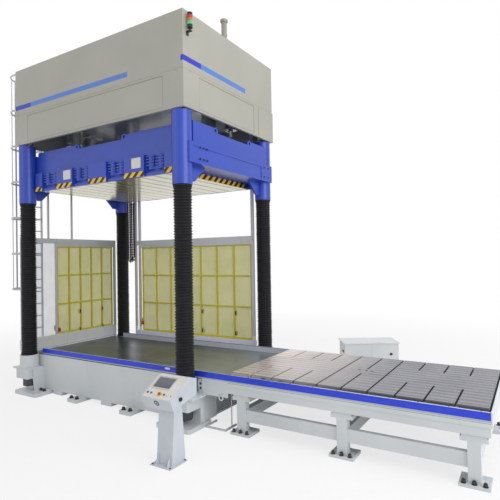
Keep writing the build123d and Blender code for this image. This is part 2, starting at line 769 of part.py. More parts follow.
def housing_skirt():
    """Sheet apron round the crown, folded inwards at its lower edge, with shallow panels."""
    x1 = HOUSING_X + SKIRT_T
    y1 = HOUSING_Y + SKIRT_T
    z = (SKIRT_BOTTOM_Z, HOUSING_SEAM_Z)
    body = box((-x1, x1), (-y1, y1), z)
    body = fillet(body.edges().filter_by(Axis.Z), HOUSING_EDGE_R)
    body -= box((-HOUSING_X, HOUSING_X), (-HOUSING_Y, HOUSING_Y), (SKIRT_BOTTOM_Z + SKIRT_T, z[1] + 1))
    lip_x = HOUSING_X - SKIRT_LIP
    lip_y = HOUSING_Y - SKIRT_LIP
    body -= box((-lip_x, lip_x), (-lip_y, lip_y), (z[0] - 1, z[1]))
    panel_z = (z[0] + SKIRT_PANEL_LOW, z[1] - SKIRT_PANEL_HIGH)
    front = box((-SKIRT_PANEL_HALF_X, SKIRT_PANEL_HALF_X), (y1 - SKIRT_PANEL_DEPTH, y1 + 1), panel_z)
    side = box((x1 - SKIRT_PANEL_DEPTH, x1 + 1), (SKIRT_PANEL_Y0, SKIRT_PANEL_Y1), panel_z)
    groove_y = (SKIRT_GROOVE_Y - SKIRT_GROOVE_W / 2, SKIRT_GROOVE_Y + SKIRT_GROOVE_W / 2)
    groove = box((x1 - SKIRT_PANEL_DEPTH, x1 + 1), groove_y, panel_z)
    return body - both_sides(front) - both_ends(side) - both_ends(groove)


def oil_tank():
    x = (TANK_X - TANK_L / 2, TANK_X + TANK_L / 2)
    top = CROWN_TOP_Z + TANK_H
    tank = box(x, (-TANK_W / 2, TANK_W / 2), (CROWN_TOP_Z, top))
    return tank + flatted(x[0] + TANK_CAP_D, 0, TANK_CAP_D, top, top + TANK_CAP_H)


def pump_motor():
    """Electric motor on a foot, with the pump on its right end."""
    z = CROWN_TOP_Z + MOTOR_FOOT_H + MOTOR_D / 2
    x = (MOTOR_X - MOTOR_L / 2, MOTOR_X + MOTOR_L / 2)
    body = lengthwise(MOTOR_Y, z, MOTOR_D, *x)
    half = PUMP_D / 2
    body += box((x[1], x[1] + PUMP_L), (MOTOR_Y - half, MOTOR_Y + half), (z - half, z + half))
    foot = MOTOR_FOOT_W / 2
    return body + box(x, (MOTOR_Y - foot, MOTOR_Y + foot), (CROWN_TOP_Z, z))


def valve_manifold():
    x0 = MANIFOLD_X - MANIFOLD_L / 2
    top = CROWN_TOP_Z + MANIFOLD_H
    y = (MANIFOLD_Y - MANIFOLD_W / 2, MANIFOLD_Y + MANIFOLD_W / 2)
    body = box((x0, x0 + MANIFOLD_L), y, (CROWN_TOP_Z, top))
    for index in range(VALVE_COUNT):
        x = x0 + MANIFOLD_L * (index + 0.5) / VALVE_COUNT
        body += box((x - VALVE_W / 2, x + VALVE_W / 2), y, (top, top + VALVE_H))
    return body


def vent_pipe():
    top = HOUSING_TOP_Z + VENT_H
    pipe = flatted(VENT_X, VENT_Y, VENT_D, HOUSING_TOP_Z, top)
    return pipe + flatted(VENT_X, VENT_Y, VENT_HAT_D, top - VENT_HAT_H, top)


# Signal tower

def tower_x():
    return HOUSING_X + TOWER_OUT


def lens_z(index):
    return TOWER_BASE_Z + TOWER_BASE_H + index * TOWER_LENS_H


def signal_housing():
    """Bracket, stem and base below the lenses, and the cap above them."""
    half = BRACKET_W / 2
    reach = (HOUSING_X, tower_x() + half)
    y = (TOWER_Y - half, TOWER_Y + half)
    bracket = box(reach, y, (TOWER_BRACKET_Z, TOWER_BRACKET_Z + BRACKET_T))
    bracket += box((HOUSING_X, HOUSING_X + BRACKET_T), y, (TOWER_BRACKET_Z - BRACKET_W, TOWER_BRACKET_Z))
    stem_z = (TOWER_BRACKET_Z + BRACKET_T, TOWER_BASE_Z)
    base = bracket + flatted(tower_x(), TOWER_Y, TOWER_STEM_D, *stem_z)
    base += flatted(tower_x(), TOWER_Y, TOWER_D, TOWER_BASE_Z, lens_z(0))
    cap = flatted(tower_x(), TOWER_Y, TOWER_D, lens_z(3), lens_z(3) + TOWER_CAP_H)
    return [base, cap]


def signal_lens(index):
    return flatted(tower_x(), TOWER_Y, TOWER_D, lens_z(index), lens_z(index + 1))


# Extension

def extension_frame():
    x = (BED_X, RUNOUT_X1)
    inner = BED_Y - CHANNEL_T
    flange = BED_Y - CHANNEL_FLANGE
    channel = side_outline([
        (BED_Y, RUNOUT_BOTTOM_Z), (BED_Y, DECK_BOTTOM_Z), (flange, DECK_BOTTOM_Z),
        (flange, DECK_BOTTOM_Z - CHANNEL_T), (inner, DECK_BOTTOM_Z - CHANNEL_T),
        (inner, RUNOUT_BOTTOM_Z + CHANNEL_T), (flange, RUNOUT_BOTTOM_Z + CHANNEL_T),
        (flange, RUNOUT_BOTTOM_Z),
    ], *x)
    apron = box((BED_X, APRON_X1), (inner, BED_Y), (APRON_BOTTOM_Z, RUNOUT_BOTTOM_Z))
    ledge = box((APRON_X1, RUNOUT_X1), (BED_Y, BED_Y + LEDGE_T), (DECK_BOTTOM_Z - LEDGE_H, DECK_BOTTOM_Z))
    body = box(x, (-BED_Y, BED_Y), (DECK_BOTTOM_Z, DECK_Z))
    body += both_sides(channel + apron + ledge)
    step = (RUNOUT_X1 - BED_X - CROSS_W) / (CROSS_COUNT - 1)
    for index in range(CROSS_COUNT):
        start = BED_X + index * step
        body += box((start, start + CROSS_W), (-inner, inner), (RUNOUT_BOTTOM_Z + CHANNEL_T, DECK_BOTTOM_Z))
    return body


def leg_places():
    return [LEG_FIRST_X + index * LEG_PITCH for index in range(LEG_COUNT)]


def leg(x):
    """One rear leg with its foot plate, stepped head and a gusset towards the middle."""
    outer = BED_Y - LEG_SETBACK
    inner = outer - LEG_D
    head_z = RUNOUT_BOTTOM_Z - LEG_CAP_T - LEG_HEAD_T
    foot_y = (BED_Y - LEG_SETBACK + LEG_FOOT_OUT - LEG_FOOT_D, outer + LEG_FOOT_OUT)
    body = box((x - LEG_W / 2, x + LEG_W / 2), (inner, outer), (LEG_FOOT_T, head_z))
    body += box((x - LEG_FOOT_L / 2, x + LEG_FOOT_L / 2), foot_y, (0, LEG_FOOT_T))
    head_y = (outer - LEG_HEAD_D, outer)
    body += box((x - LEG_HEAD_L / 2, x + LEG_HEAD_L / 2), head_y, (head_z, head_z + LEG_HEAD_T))
    body += box((x - LEG_CAP_L / 2, x + LEG_CAP_L / 2), head_y, (head_z + LEG_HEAD_T, RUNOUT_BOTTOM_Z))
    points = [(inner + 1, LEG_FOOT_T), (inner - LEG_GUSSET, LEG_FOOT_T), (inner + 1, LEG_FOOT_T + LEG_GUSSET)]
    return body + side_outline(points, x - LEG_GUSSET_T / 2, x + LEG_GUSSET_T / 2)


def extension_stand():
    """Three pairs of legs with rails along both sides and a beam across each pair."""
    body = fused(copy for x in leg_places() for copy in both_sides(leg(x)))
    outer = BED_Y - LEG_SETBACK
    rail_y = (outer - LEG_D / 2 - STAND_RAIL_T / 2, outer - LEG_D / 2 + STAND_RAIL_T / 2)
    rail_z = (STAND_RAIL_Z, STAND_RAIL_Z + STAND_RAIL_H)
    body += both_sides(box((leg_places()[0], leg_places()[-1]), rail_y, rail_z))
    middle = outer - LEG_D / 2
    for x in leg_places():
        cross_x = (x - STAND_CROSS_W / 2, x + STAND_CROSS_W / 2)
        body += box(cross_x, (-middle, middle), (STAND_RAIL_Z, STAND_RAIL_Z + STAND_CROSS_H))
    return body


def extension_end_plate():
    x = (RUNOUT_X1, RUNOUT_X1 + END_PLATE_T)
    return box(x, (-BED_Y, BED_Y), (DECK_Z - END_PLATE_DROP - LEDGE_H, RAIL_TOP_Z))


def floor_bolts():
    """Hexagon heads on the leg feet, the bolted bed feet and the base plates."""
    places = []
    leg_y = BED_Y - LEG_SETBACK + LEG_FOOT_OUT / 2
    leg_x = LEG_FOOT_L / 2 - BOLT_EDGE
    for x in leg_places():
        places += [(x + side * leg_x, leg_y, LEG_FOOT_T, LEG_BOLT_FLATS) for side in (-1, 0, 1)]
    for x, reach in foot_places():
        if reach:
            y = BED_Y + reach - BOLT_EDGE
            places += [(x + side * (FOOT_L / 2 - BOLT_EDGE), y, BED_LIFT, BOLT_FLATS) for side in (-1, 1)]
    heads = [hexagon(x, y, flats, z, z + BOLT_H) for x, y, z, flats in places]
    heads = [copy for head in heads for copy in both_sides(head)]
    for inwards in (BOLT_EDGE, 3 * BOLT_EDGE):
        x = COLUMN_X - LUG_HALF_X - WEB_T - inwards
        heads += corners(hexagon(x, COLUMN_Y - BOLT_EDGE, BOLT_FLATS, BED_LIFT, BED_LIFT + BOLT_H))
    return heads


# Table

def wheel_places():
    ends = (WHEEL_OUTER, WHEEL_INNER, TABLE_L - WHEEL_INNER, TABLE_L - WHEEL_OUTER)
    return [TABLE_X0 + offset for offset in ends]


def table_slot_spans(index, count):
    """Front and rear reach of one T-slot, or its whole length where it runs right through."""
    edge = TABLE_W / 2 + 1
    middle = (count - 1) / 2
    if abs(index - middle) == 1:
        return [(-edge, edge)]
    if index == middle:
        return [(-edge, SLOT_MID_FRONT_END), (SLOT_MID_REAR_START, edge)]
    return [(-edge, SLOT_FRONT_END), (SLOT_REAR_START, edge)]


def table_plate():
    x = (TABLE_X0, TABLE_X0 + TABLE_L)
    plate = box(x, (-TABLE_W / 2, TABLE_W / 2), (TABLE_TOP_Z - TABLE_T, TABLE_TOP_Z))
    plate = chamfer(plate.edges().group_by(Axis.Z)[-1], TABLE_CHAMFER)
    count = round(TABLE_L / SLOT_PITCH) - 1
    for index in range(count):
        slot_x = TABLE_X + (index - (count - 1) / 2) * SLOT_PITCH
        for start, end in table_slot_spans(index, count):
            plate -= Pos(slot_x, (start + end) / 2, TABLE_TOP_Z) * t_slot(end - start)
    for offset in LOCATING_HOLE_X:
        floor = TABLE_TOP_Z - LOCATING_HOLE_DEPTH
        plate -= flatted(TABLE_X + offset, LOCATING_HOLE_Y, LOCATING_HOLE_D, floor, TABLE_TOP_Z + 1)
    bore = (AXLE_D + 2 * AXLE_FIT) / math.cos(math.pi / FINE_SIDES)
    return plate - [axle_bar(place, bore, TABLE_W / 2 + 1) for place in wheel_places()]


def axle_bar(x, diameter, reach):
    """A bar of many flats across the table, as far as reach on both sides."""
    return Pos(x, 0, AXLE_Z) * Rot(90, 0, 0) * flatted(0, 0, diameter, -reach, reach)


def table_wheelset(x):
    """Two wheels on one axle through the table."""
    inner = TABLE_W / 2 + WHEEL_SIDE_GAP
    outer = inner + WHEEL_W
    return fused(both_sides(crosswise(x, AXLE_Z, WHEEL_D, inner, outer))) + axle_bar(x, AXLE_D, inner)


# Guards

def left_guard_frame():
    """Posts, header and sill board in the plane beyond the left columns."""
    x = (-LEFT_GUARD_X - GUARD_T / 2, -LEFT_GUARD_X + GUARD_T / 2)
    half = LEFT_POST_W / 2
    header_y = (-LEFT_POST_Y - half, LEFT_POST_Y + half)
    body = box(x, header_y, (LEFT_HEADER_Z, LEFT_HEADER_TOP_Z))
    for y in (-LEFT_POST_Y, LEFT_POST_Y):
        body += box(x, (y - half, y + half), (COLLAR_Z, LEFT_HEADER_TOP_Z))
    mid = (LEFT_MID_POST_Y - LEFT_MID_POST_W / 2, LEFT_MID_POST_Y + LEFT_MID_POST_W / 2)
    body += box(x, mid, (0, LEFT_HEADER_TOP_Z))
    body += box((x[1] - BOARD_T, x[1]), header_y, (LEFT_BOARD_Z, LEFT_SILL_Z))
    for y in STAY_Y:
        span = (y - STAY_W / 2, y + STAY_W / 2)
        body += box(x, span, (LEFT_HEADER_TOP_Z, STAY_TOP_Z))
        body += box((x[1], -HOUSING_X - SKIRT_T), span, (STAY_TOP_Z - STAY_W, STAY_TOP_Z))
    return body


def left_guard_pane():
    y = (-LEFT_POST_Y + LEFT_POST_W / 2, LEFT_MID_POST_Y - LEFT_MID_POST_W / 2)
    x = (-LEFT_GUARD_X - PANE_T / 2, -LEFT_GUARD_X + PANE_T / 2)
    return box(x, y, (LEFT_SILL_Z, LEFT_HEADER_Z))


def rear_guard_frame():
    """Posts from the base plates and the floor to the crown, with a header and a sill board."""
    y = (REAR_GUARD_Y - GUARD_T / 2, REAR_GUARD_Y + GUARD_T / 2)
    half = REAR_POST_W / 2
    body = box((REAR_LEFT_POST_X[0] - half, REAR_LEFT_POST_X[0] + half), y, (BED_LIFT, CROWN_BOTTOM_Z))
    body += box((REAR_LEFT_POST_X[1] - half, REAR_LEFT_POST_X[1] + half), y, (0, CROWN_BOTTOM_Z))
    body += box((REAR_RIGHT_POST_X - half, REAR_RIGHT_POST_X + half), y, (BED_LIFT, CROWN_BOTTOM_Z))
    x = (REAR_LEFT_POST_X[0] - half, REAR_RIGHT_POST_X + half)
    body += box(x, y, (REAR_HEADER_Z, REAR_HEADER_Z + HEADER_H))
    return body + box(x, (y[0], y[0] + BOARD_T), (REAR_BOARD_Z, REAR_SILL_Z))


def gate_grid(length, height, bays):
    """Frame of a gate in the XZ plane, from its lower left corner, with equal bays and rows."""
    body = box((0, length), (0, GATE_T), (0, height))
    bay = (length - GATE_BAR) / bays
    row = (height - GATE_BAR) / GATE_ROWS
    for column in range(bays):
        for level in range(GATE_ROWS):
            x0 = column * bay + GATE_BAR
            z0 = level * row + GATE_BAR
            body -= box((x0, x0 + bay - GATE_BAR), (-1, GATE_T + 1), (z0, z0 + row - GATE_BAR))
    return body


def gate_sheet(length, height):
    """Sheet on the outer face of a gate's frame."""
    return box((0, length), (GATE_T, GATE_T + GATE_SHEET_T), (0, height))


def left_gate_place():
    """Corner, length and height of the left gate, which stands across the press."""
    start = LEFT_MID_POST_Y + LEFT_MID_POST_W / 2 + GATE_SIDE_GAP
    end = LEFT_POST_Y - LEFT_POST_W / 2 - GATE_SIDE_GAP
    corner = Pos(-LEFT_GUARD_X - GATE_OUT, start, LEFT_SILL_Z + GATE_SEAT_GAP) * Rot(0, 0, 90)
    return corner, end - start, LEFT_HEADER_Z - LEFT_SILL_Z - GATE_TOP_GAP


def rear_gate_place():
    start = REAR_LEFT_POST_X[1] + REAR_POST_W / 2 + GATE_SIDE_GAP
    end = REAR_RIGHT_POST_X - REAR_POST_W / 2 - GATE_SIDE_GAP
    corner = Pos(start, REAR_GUARD_Y + GATE_OUT, REAR_SILL_Z + GATE_SEAT_GAP)
    return corner, end - start, REAR_HEADER_Z - REAR_SILL_Z - GATE_TOP_GAP


def gate_interlocks():
    z = (INTERLOCK_Z, INTERLOCK_Z + INTERLOCK_H)
    left_x = -LEFT_GUARD_X - GUARD_T / 2
    left_y = (LEFT_MID_POST_Y - INTERLOCK_W / 2, LEFT_MID_POST_Y + INTERLOCK_W / 2)
    rear_y = REAR_GUARD_Y + GUARD_T / 2
    rear_x = (REAR_LEFT_POST_X[1] - INTERLOCK_W / 2, REAR_LEFT_POST_X[1] + INTERLOCK_W / 2)
    return [box((left_x - INTERLOCK_D, left_x), left_y, z), box(rear_x, (rear_y, rear_y + INTERLOCK_D), z)]


# Ladder

def cage_centre_x():
    return LADDER_X - math.sqrt(CAGE_R ** 2 - (LADDER_W / 2) ** 2)


def cage_hoop(z):
    """Flat bar bent round in short flats, open where it meets the ladder's rails."""
    top = z + CAGE_BAR_H
    ring = flatted(cage_centre_x(), LADDER_Y, 2 * CAGE_R, z, top, CAGE_SIDES)
    ring -= flatted(cage_centre_x(), LADDER_Y, 2 * (CAGE_R - CAGE_BAR_T), z - 1, top + 1, CAGE_SIDES)
    mouth = box((LADDER_X, LADDER_X + CAGE_R), (LADDER_Y - CAGE_R, LADDER_Y + CAGE_R), (z - 1, top + 1))
    return ring - mouth


def cage_strap(side):
    """Upright flat bar against the inner face of the hoops."""
    turn = 360.0 / CAGE_SIDES
    outer = (CAGE_R - CAGE_BAR_T) * math.cos(math.radians(turn / 2))
    strap = box((outer - CAGE_BAR_T, outer), (-CAGE_BAR_H / 2, CAGE_BAR_H / 2), (CAGE_BOTTOM_Z, LADDER_TOP_Z))
    return Pos(cage_centre_x(), LADDER_Y, 0) * Rot(0, 0, (side + 0.5) * turn) * strap


def ladder():
    """Rails, rungs, stays to the housing and to the guard, and a safety cage."""
    rail_y = (LADDER_Y + LADDER_W / 2 - LADDER_RAIL_T / 2, LADDER_Y + LADDER_W / 2 + LADDER_RAIL_T / 2)
    rail_x = (LADDER_X - LADDER_RAIL_W / 2, LADDER_X + LADDER_RAIL_W / 2)
    rails = []
    for middle in (LADDER_Y - LADDER_W / 2, LADDER_Y + LADDER_W / 2):
        y = (middle - LADDER_RAIL_T / 2, middle + LADDER_RAIL_T / 2)
        rails.append(box(rail_x, y, (0, LADDER_TOP_Z)))
        for drop in LADDER_STAY_DROP:
            stay_z = (LADDER_TOP_Z - drop, LADDER_TOP_Z - drop + LADDER_STAY)
            rails.append(box((rail_x[1], -HOUSING_X), y, stay_z))
        guard_z = (LEFT_HEADER_Z + LADDER_STAY, LEFT_HEADER_Z + 2 * LADDER_STAY)
        rails.append(box((rail_x[1], -LEFT_GUARD_X - GUARD_T / 2), y, guard_z))
    body = fused(rails)
    rung_y = (LADDER_Y - LADDER_W / 2, rail_y[0])
    for index in range(int(LADDER_TOP_Z // RUNG_PITCH)):
        z = (index + 0.5) * RUNG_PITCH
        body += box((LADDER_X - RUNG / 2, LADDER_X + RUNG / 2), rung_y, (z - RUNG / 2, z + RUNG / 2))
    step = (LADDER_TOP_Z - CAGE_BOTTOM_Z - CAGE_BAR_H) / (CAGE_HOOPS - 1)
    body += [cage_hoop(CAGE_BOTTOM_Z + index * step) for index in range(CAGE_HOOPS)]
    return body + [cage_strap(side) for side in CAGE_STRAP_SIDES]


# Cable chain

def chain_strand(x, bottom, top):
    """Straight run of links, every second one a step narrower."""
    count = max(2, round((top - bottom) / CHAIN_LINK))
    step = (top - bottom) / count
    right = []
    for index in range(count):
        half = CHAIN_STRAND_W / 2 - (CHAIN_LINK_STEP if index % 2 else 0.0)
        right += [(half, bottom + index * step), (half, bottom + (index + 1) * step)]
    outline = [(x + a, z) for a, z in right] + [(x - a, z) for a, z in reversed(right)]
    return front_outline(outline, *chain_depth())


def chain_depth():
    return BLOCK_Y + CHAIN_CLEAR, BLOCK_Y + CHAIN_CLEAR + CHAIN_D


def cable_chain():
    """A strand hung from the slide, a half-round bend and a strand up to the crown."""
    offset = (CHAIN_STRAND_W + CHAIN_GAP) / 2
    outer = CHAIN_GAP / 2 + CHAIN_STRAND_W
    y = chain_depth()
    cut = (y[0] - 1, y[1] + 1)
    bend = crosswise(CHAIN_X, CHAIN_BEND_Z, 2 * outer, *y) - crosswise(CHAIN_X, CHAIN_BEND_Z, CHAIN_GAP, *cut)
    bend -= box((CHAIN_X - outer - 1, CHAIN_X + outer + 1), cut, (CHAIN_BEND_Z, CHAIN_BEND_Z + outer + 1))
    return bend + [chain_strand(CHAIN_X + offset, CHAIN_BEND_Z, SLIDE_BOTTOM_Z),
                   chain_strand(CHAIN_X - offset, CHAIN_BEND_Z, CROWN_BOTTOM_Z)]


# Pedestal

def pedestal_stand():
    """Base plate and a column that gets narrower towards its head."""
    base = box((PEDESTAL_X - PEDESTAL_BASE_L / 2, PEDESTAL_X + PEDESTAL_BASE_L / 2),
               (PEDESTAL_Y - PEDESTAL_BASE_W / 2, PEDESTAL_Y + PEDESTAL_BASE_W / 2), (0, PEDESTAL_BASE_T))
    foot = PEDESTAL_FOOT_D / 2
    head = PEDESTAL_HEAD_D / 2
    top = CONSOLE_BACK_FOOT[1]
    outline = [(-foot, PEDESTAL_BASE_T), (foot, PEDESTAL_BASE_T), (head, top), (-head, top)]
    points = [(PEDESTAL_COLUMN_Y + y, z) for y, z in outline]
    column = side_outline(points, PEDESTAL_X - PEDESTAL_COLUMN_L / 2, PEDESTAL_X + PEDESTAL_COLUMN_L / 2)
    return base + (column - console_body())


def face_plane():
    """Plane of the console's sloping face, from its lower left corner."""
    run = CONSOLE_FACE_HEAD[0] - CONSOLE_FACE_FOOT[0]
    rise = CONSOLE_FACE_HEAD[1] - CONSOLE_FACE_FOOT[1]
    return Plane(origin=(CONSOLE_X0, *CONSOLE_FACE_FOOT), x_dir=(1, 0, 0), z_dir=(0, -rise, run))


def face_length():
    return math.dist(CONSOLE_FACE_FOOT, CONSOLE_FACE_HEAD)


def console_body():
    points = [CONSOLE_FACE_FOOT, CONSOLE_FACE_HEAD, CONSOLE_BACK_TOP]
    points += [CONSOLE_BACK_FOOT, CONSOLE_KNEE, CONSOLE_LIP]
    return side_outline(points, CONSOLE_X0, CONSOLE_X1)


def on_face(u, diameter, low, high):
    """An upright of many flats on the face's button row, from low to high above the face."""
    return flatted(u, BUTTON_ROW_V, diameter, low, high)


def console_box():
    """Bent sheet box, open under its face plate."""
    length = CONSOLE_X1 - CONSOLE_X0
    middle = Pos(length / 2, face_length() / 2, -CONSOLE_DEPTH / 2)
    pocket = Box(length - 2 * FACE_RIM, face_length() - 2 * FACE_RIM, CONSOLE_DEPTH)
    body = console_body() - face_plane() * middle * pocket
    bore = KNOB_STEM_D + 2 * KNOB_FIT
    return body - Rot(0, 90, 0) * flatted(-KNOB_Z, KNOB_Y, bore, CONSOLE_X1 - FACE_RIM - 1, CONSOLE_X1 + 1)


def console_face():
    length = CONSOLE_X1 - CONSOLE_X0 - 2 * FACE_INSET
    width = face_length() - 2 * FACE_INSET
    plate = Pos(FACE_INSET + length / 2, FACE_INSET + width / 2, FACE_T / 2) * Box(length, width, FACE_T)
    for u, diameter in [(u, BUTTON_D) for u in BUTTON_U] + [(ESTOP_U, ESTOP_STEM_D)]:
        plate -= on_face(u, diameter + 2 * BUTTON_FIT, -1, FACE_T + 1)
    return face_plane() * plate


def console_screen():
    middle = Pos(SCREEN_U + SCREEN_L / 2, SCREEN_V + SCREEN_W / 2, FACE_T + SCREEN_T / 2)
    return face_plane() * (middle * Box(SCREEN_L, SCREEN_W, SCREEN_T))


def push_button(u):
    return face_plane() * on_face(u, BUTTON_D, -BUTTON_BELOW, FACE_T + BUTTON_H)


def estop_button():
    """Mushroom head on a stem."""
    neck = FACE_T + BUTTON_H
    stem = on_face(ESTOP_U, ESTOP_STEM_D, -BUTTON_BELOW, neck)
    return face_plane() * (stem + on_face(ESTOP_U, ESTOP_HEAD_D, neck, neck + ESTOP_HEAD_H))


def side_knob():
    """Lobed clamping knob on the right side of the console."""
    outline = []
    for index in range(2 * KNOB_LOBES):
        angle = math.pi * index / KNOB_LOBES
        radius = KNOB_D / 2 if index % 2 else KNOB_D / 2 - KNOB_WAIST
        outline.append((radius * math.cos(angle), radius * math.sin(angle)))
    start = CONSOLE_X1 + KNOB_GAP
    head = extrude(Pos(0, 0, start) * closed(outline), amount=KNOB_T)
    stem = flatted(0, 0, KNOB_STEM_D, CONSOLE_X1 - FACE_RIM, start)
    return Pos(0, KNOB_Y, KNOB_Z) * Rot(0, 90, 0) * (head + stem)


# Cabinet

def side_cabinet():
    """Steel cabinet on a plinth, with two doors and an overhanging lid."""
    body = box((0, CABINET_L), (0, CABINET_D), (CABINET_PLINTH_H, CABINET_H))
    body += box((CABINET_PLINTH_IN, CABINET_L - CABINET_PLINTH_IN),
                (CABINET_PLINTH_IN, CABINET_D - CABINET_PLINTH_IN), (0, CABINET_PLINTH_H))
    out = CABINET_LID_OUT
    body += box((-out, CABINET_L + out), (-out, CABINET_D + out), (CABINET_H, CABINET_H + CABINET_LID_T))
    groove_x = (CABINET_L / 2 - CABINET_DOOR_GROOVE / 2, CABINET_L / 2 + CABINET_DOOR_GROOVE / 2)
    body -= box(groove_x, (-1, CABINET_DOOR_GROOVE), (CABINET_PLINTH_H + out, CABINET_H - out))
    return Pos(CABINET_X, CABINET_Y, 0) * Rot(0, 0, CABINET_TURN) * body


def save(name, *shapes):
    export_step(group(shapes), f"parts/{name}.step")


def main():
    os.makedirs("parts", exist_ok=True)
    save("bed_frame", bed_frame())
    save("bed_deck", bed_deck())
    save("bed_grille", bed_grille())
    save("rear_rail", rail())
    save("front_rail", mirror(rail(), about=Plane.XZ))
    save("guide_columns", *guide_columns())
    save("column_nuts", *column_nuts())
    for end, x in (("left", -COLUMN_X), ("right", COLUMN_X)):
        for side, y in (("front", -COLUMN_Y), ("rear", COLUMN_Y)):
            save(f"bellows_{side}_{end}", column_bellows(x, y))
    save("guide_sleeves", *guide_sleeves())
    save("slide_frame", slide_frame())
    save("upper_platen", upper_platen())
    save("cylinder_barrels", *both_ends(cylinder_barrel()))
    save("cylinder_rams", *both_ends(cylinder_ram()))
    save("crown_frame", crown_frame())
    save("housing_shell", housing_shell())
    save("housing_skirt", housing_skirt())
    save("oil_tank", oil_tank())
    save("pump_motor", pump_motor())
    save("valve_manifold", valve_manifold())
    save("vent_pipe", vent_pipe())
    save("signal_housing", *signal_housing())
    for index, colour in enumerate(("green", "amber", "red")):
        save(f"signal_lens_{colour}", signal_lens(index))
    save("extension_frame", extension_frame())
    save("extension_stand", extension_stand())
    save("extension_end_plate", extension_end_plate())
    save("floor_bolts", *floor_bolts())
    save("table_plate", table_plate())
    for index, x in enumerate(wheel_places()):
        save(f"table_wheelset_{index + 1}", table_wheelset(x))
    save("left_guard_frame", left_guard_frame())
    save("left_guard_pane", left_guard_pane())
    save("rear_guard_frame", rear_guard_frame())
    for side, (corner, length, height), bays in (
            ("left", left_gate_place(), LEFT_GATE_BAYS), ("rear", rear_gate_place(), REAR_GATE_BAYS)):
        save(f"{side}_gate_frame", corner * gate_grid(length, height, bays))
        save(f"{side}_gate_sheet", corner * gate_sheet(length, height))
    save("gate_interlocks", *gate_interlocks())
    save("ladder", ladder())
    save("cable_chain", cable_chain())
    save("pedestal_stand", pedestal_stand())
    save("console_box", console_box())
    save("console_face", console_face())
    save("console_screen", console_screen())
    for index, u in enumerate(BUTTON_U):
        save(f"push_button_{index + 1}", push_button(u))
    save("estop_button", estop_button())
    save("side_knob", side_knob())
    save("side_cabinet", side_cabinet())


main()
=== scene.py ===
import json
import math
import random

import bmesh
import bpy
from mathutils import Matrix, Vector


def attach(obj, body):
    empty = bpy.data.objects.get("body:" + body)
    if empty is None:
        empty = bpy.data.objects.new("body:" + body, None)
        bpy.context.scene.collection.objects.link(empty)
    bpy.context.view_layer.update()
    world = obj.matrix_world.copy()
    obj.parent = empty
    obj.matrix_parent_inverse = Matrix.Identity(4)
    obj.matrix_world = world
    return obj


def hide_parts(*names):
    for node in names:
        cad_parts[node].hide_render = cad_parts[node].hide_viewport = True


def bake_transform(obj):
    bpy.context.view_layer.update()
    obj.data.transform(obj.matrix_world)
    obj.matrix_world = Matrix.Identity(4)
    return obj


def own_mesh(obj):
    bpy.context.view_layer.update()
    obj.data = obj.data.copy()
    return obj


# Four-column spotting press with a moving table, in metres, in the same frame as the solids
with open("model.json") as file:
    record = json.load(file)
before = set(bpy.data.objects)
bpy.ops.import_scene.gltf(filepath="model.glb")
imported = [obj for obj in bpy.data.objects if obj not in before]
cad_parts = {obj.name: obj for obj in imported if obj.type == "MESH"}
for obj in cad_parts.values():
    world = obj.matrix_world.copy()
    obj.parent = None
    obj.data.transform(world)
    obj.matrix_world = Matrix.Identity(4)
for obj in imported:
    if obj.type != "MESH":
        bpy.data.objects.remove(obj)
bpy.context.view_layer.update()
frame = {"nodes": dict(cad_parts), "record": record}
print("frame loaded:", len(frame["nodes"]), "nodes")


def rgb(red, green, blue):
    # a colour as it is read off a screen, turned into the linear values that shaders use
    values = []
    for part in (red, green, blue):
        part /= 255
        values.append(part / 12.92 if part <= 0.04045 else ((part + 0.055) / 1.055) ** 2.4)
    return (*values, 1.0)


class Sock:
    # one output of a node, so that shader maths reads as an expression
    def __init__(self, graph, socket):
        self.graph = graph
        self.socket = socket

    def math(self, operation, other=None, swapped=False):
        first, second = (other, self) if swapped else (self, other)
        return self.graph.node("Math", {"operation": operation}, {0: first, 1: second})

    def __add__(self, other):
        return self.math("ADD", other)

    def __radd__(self, other):
        return self.math("ADD", other, True)

    def __sub__(self, other):
        return self.math("SUBTRACT", other)

    def __rsub__(self, other):
        return self.math("SUBTRACT", other, True)

    def __mul__(self, other):
        return self.math("MULTIPLY", other)

    def __rmul__(self, other):
        return self.math("MULTIPLY", other, True)

    def __truediv__(self, other):
        return self.math("DIVIDE", other)

    def __rtruediv__(self, other):
        return self.math("DIVIDE", other, True)

    def __pow__(self, other):
        return self.math("POWER", other)

    def __abs__(self):
        return self.math("ABSOLUTE")

    def over(self, limit):
        return self.math("GREATER_THAN", limit)

    def under(self, limit):
        return self.math("LESS_THAN", limit)

    def between(self, low, high):
        return self.over(low) * self.under(high)

    def fraction(self):
        return self.math("FRACT")

    def fade(self, low=0.0, high=1.0):
        # 0 below low, 1 above high and a straight rise between
        return self.graph.node("MapRange", {"clamp": True}, {0: self, 1: low, 2: high, 3: 0.0, 4: 1.0})


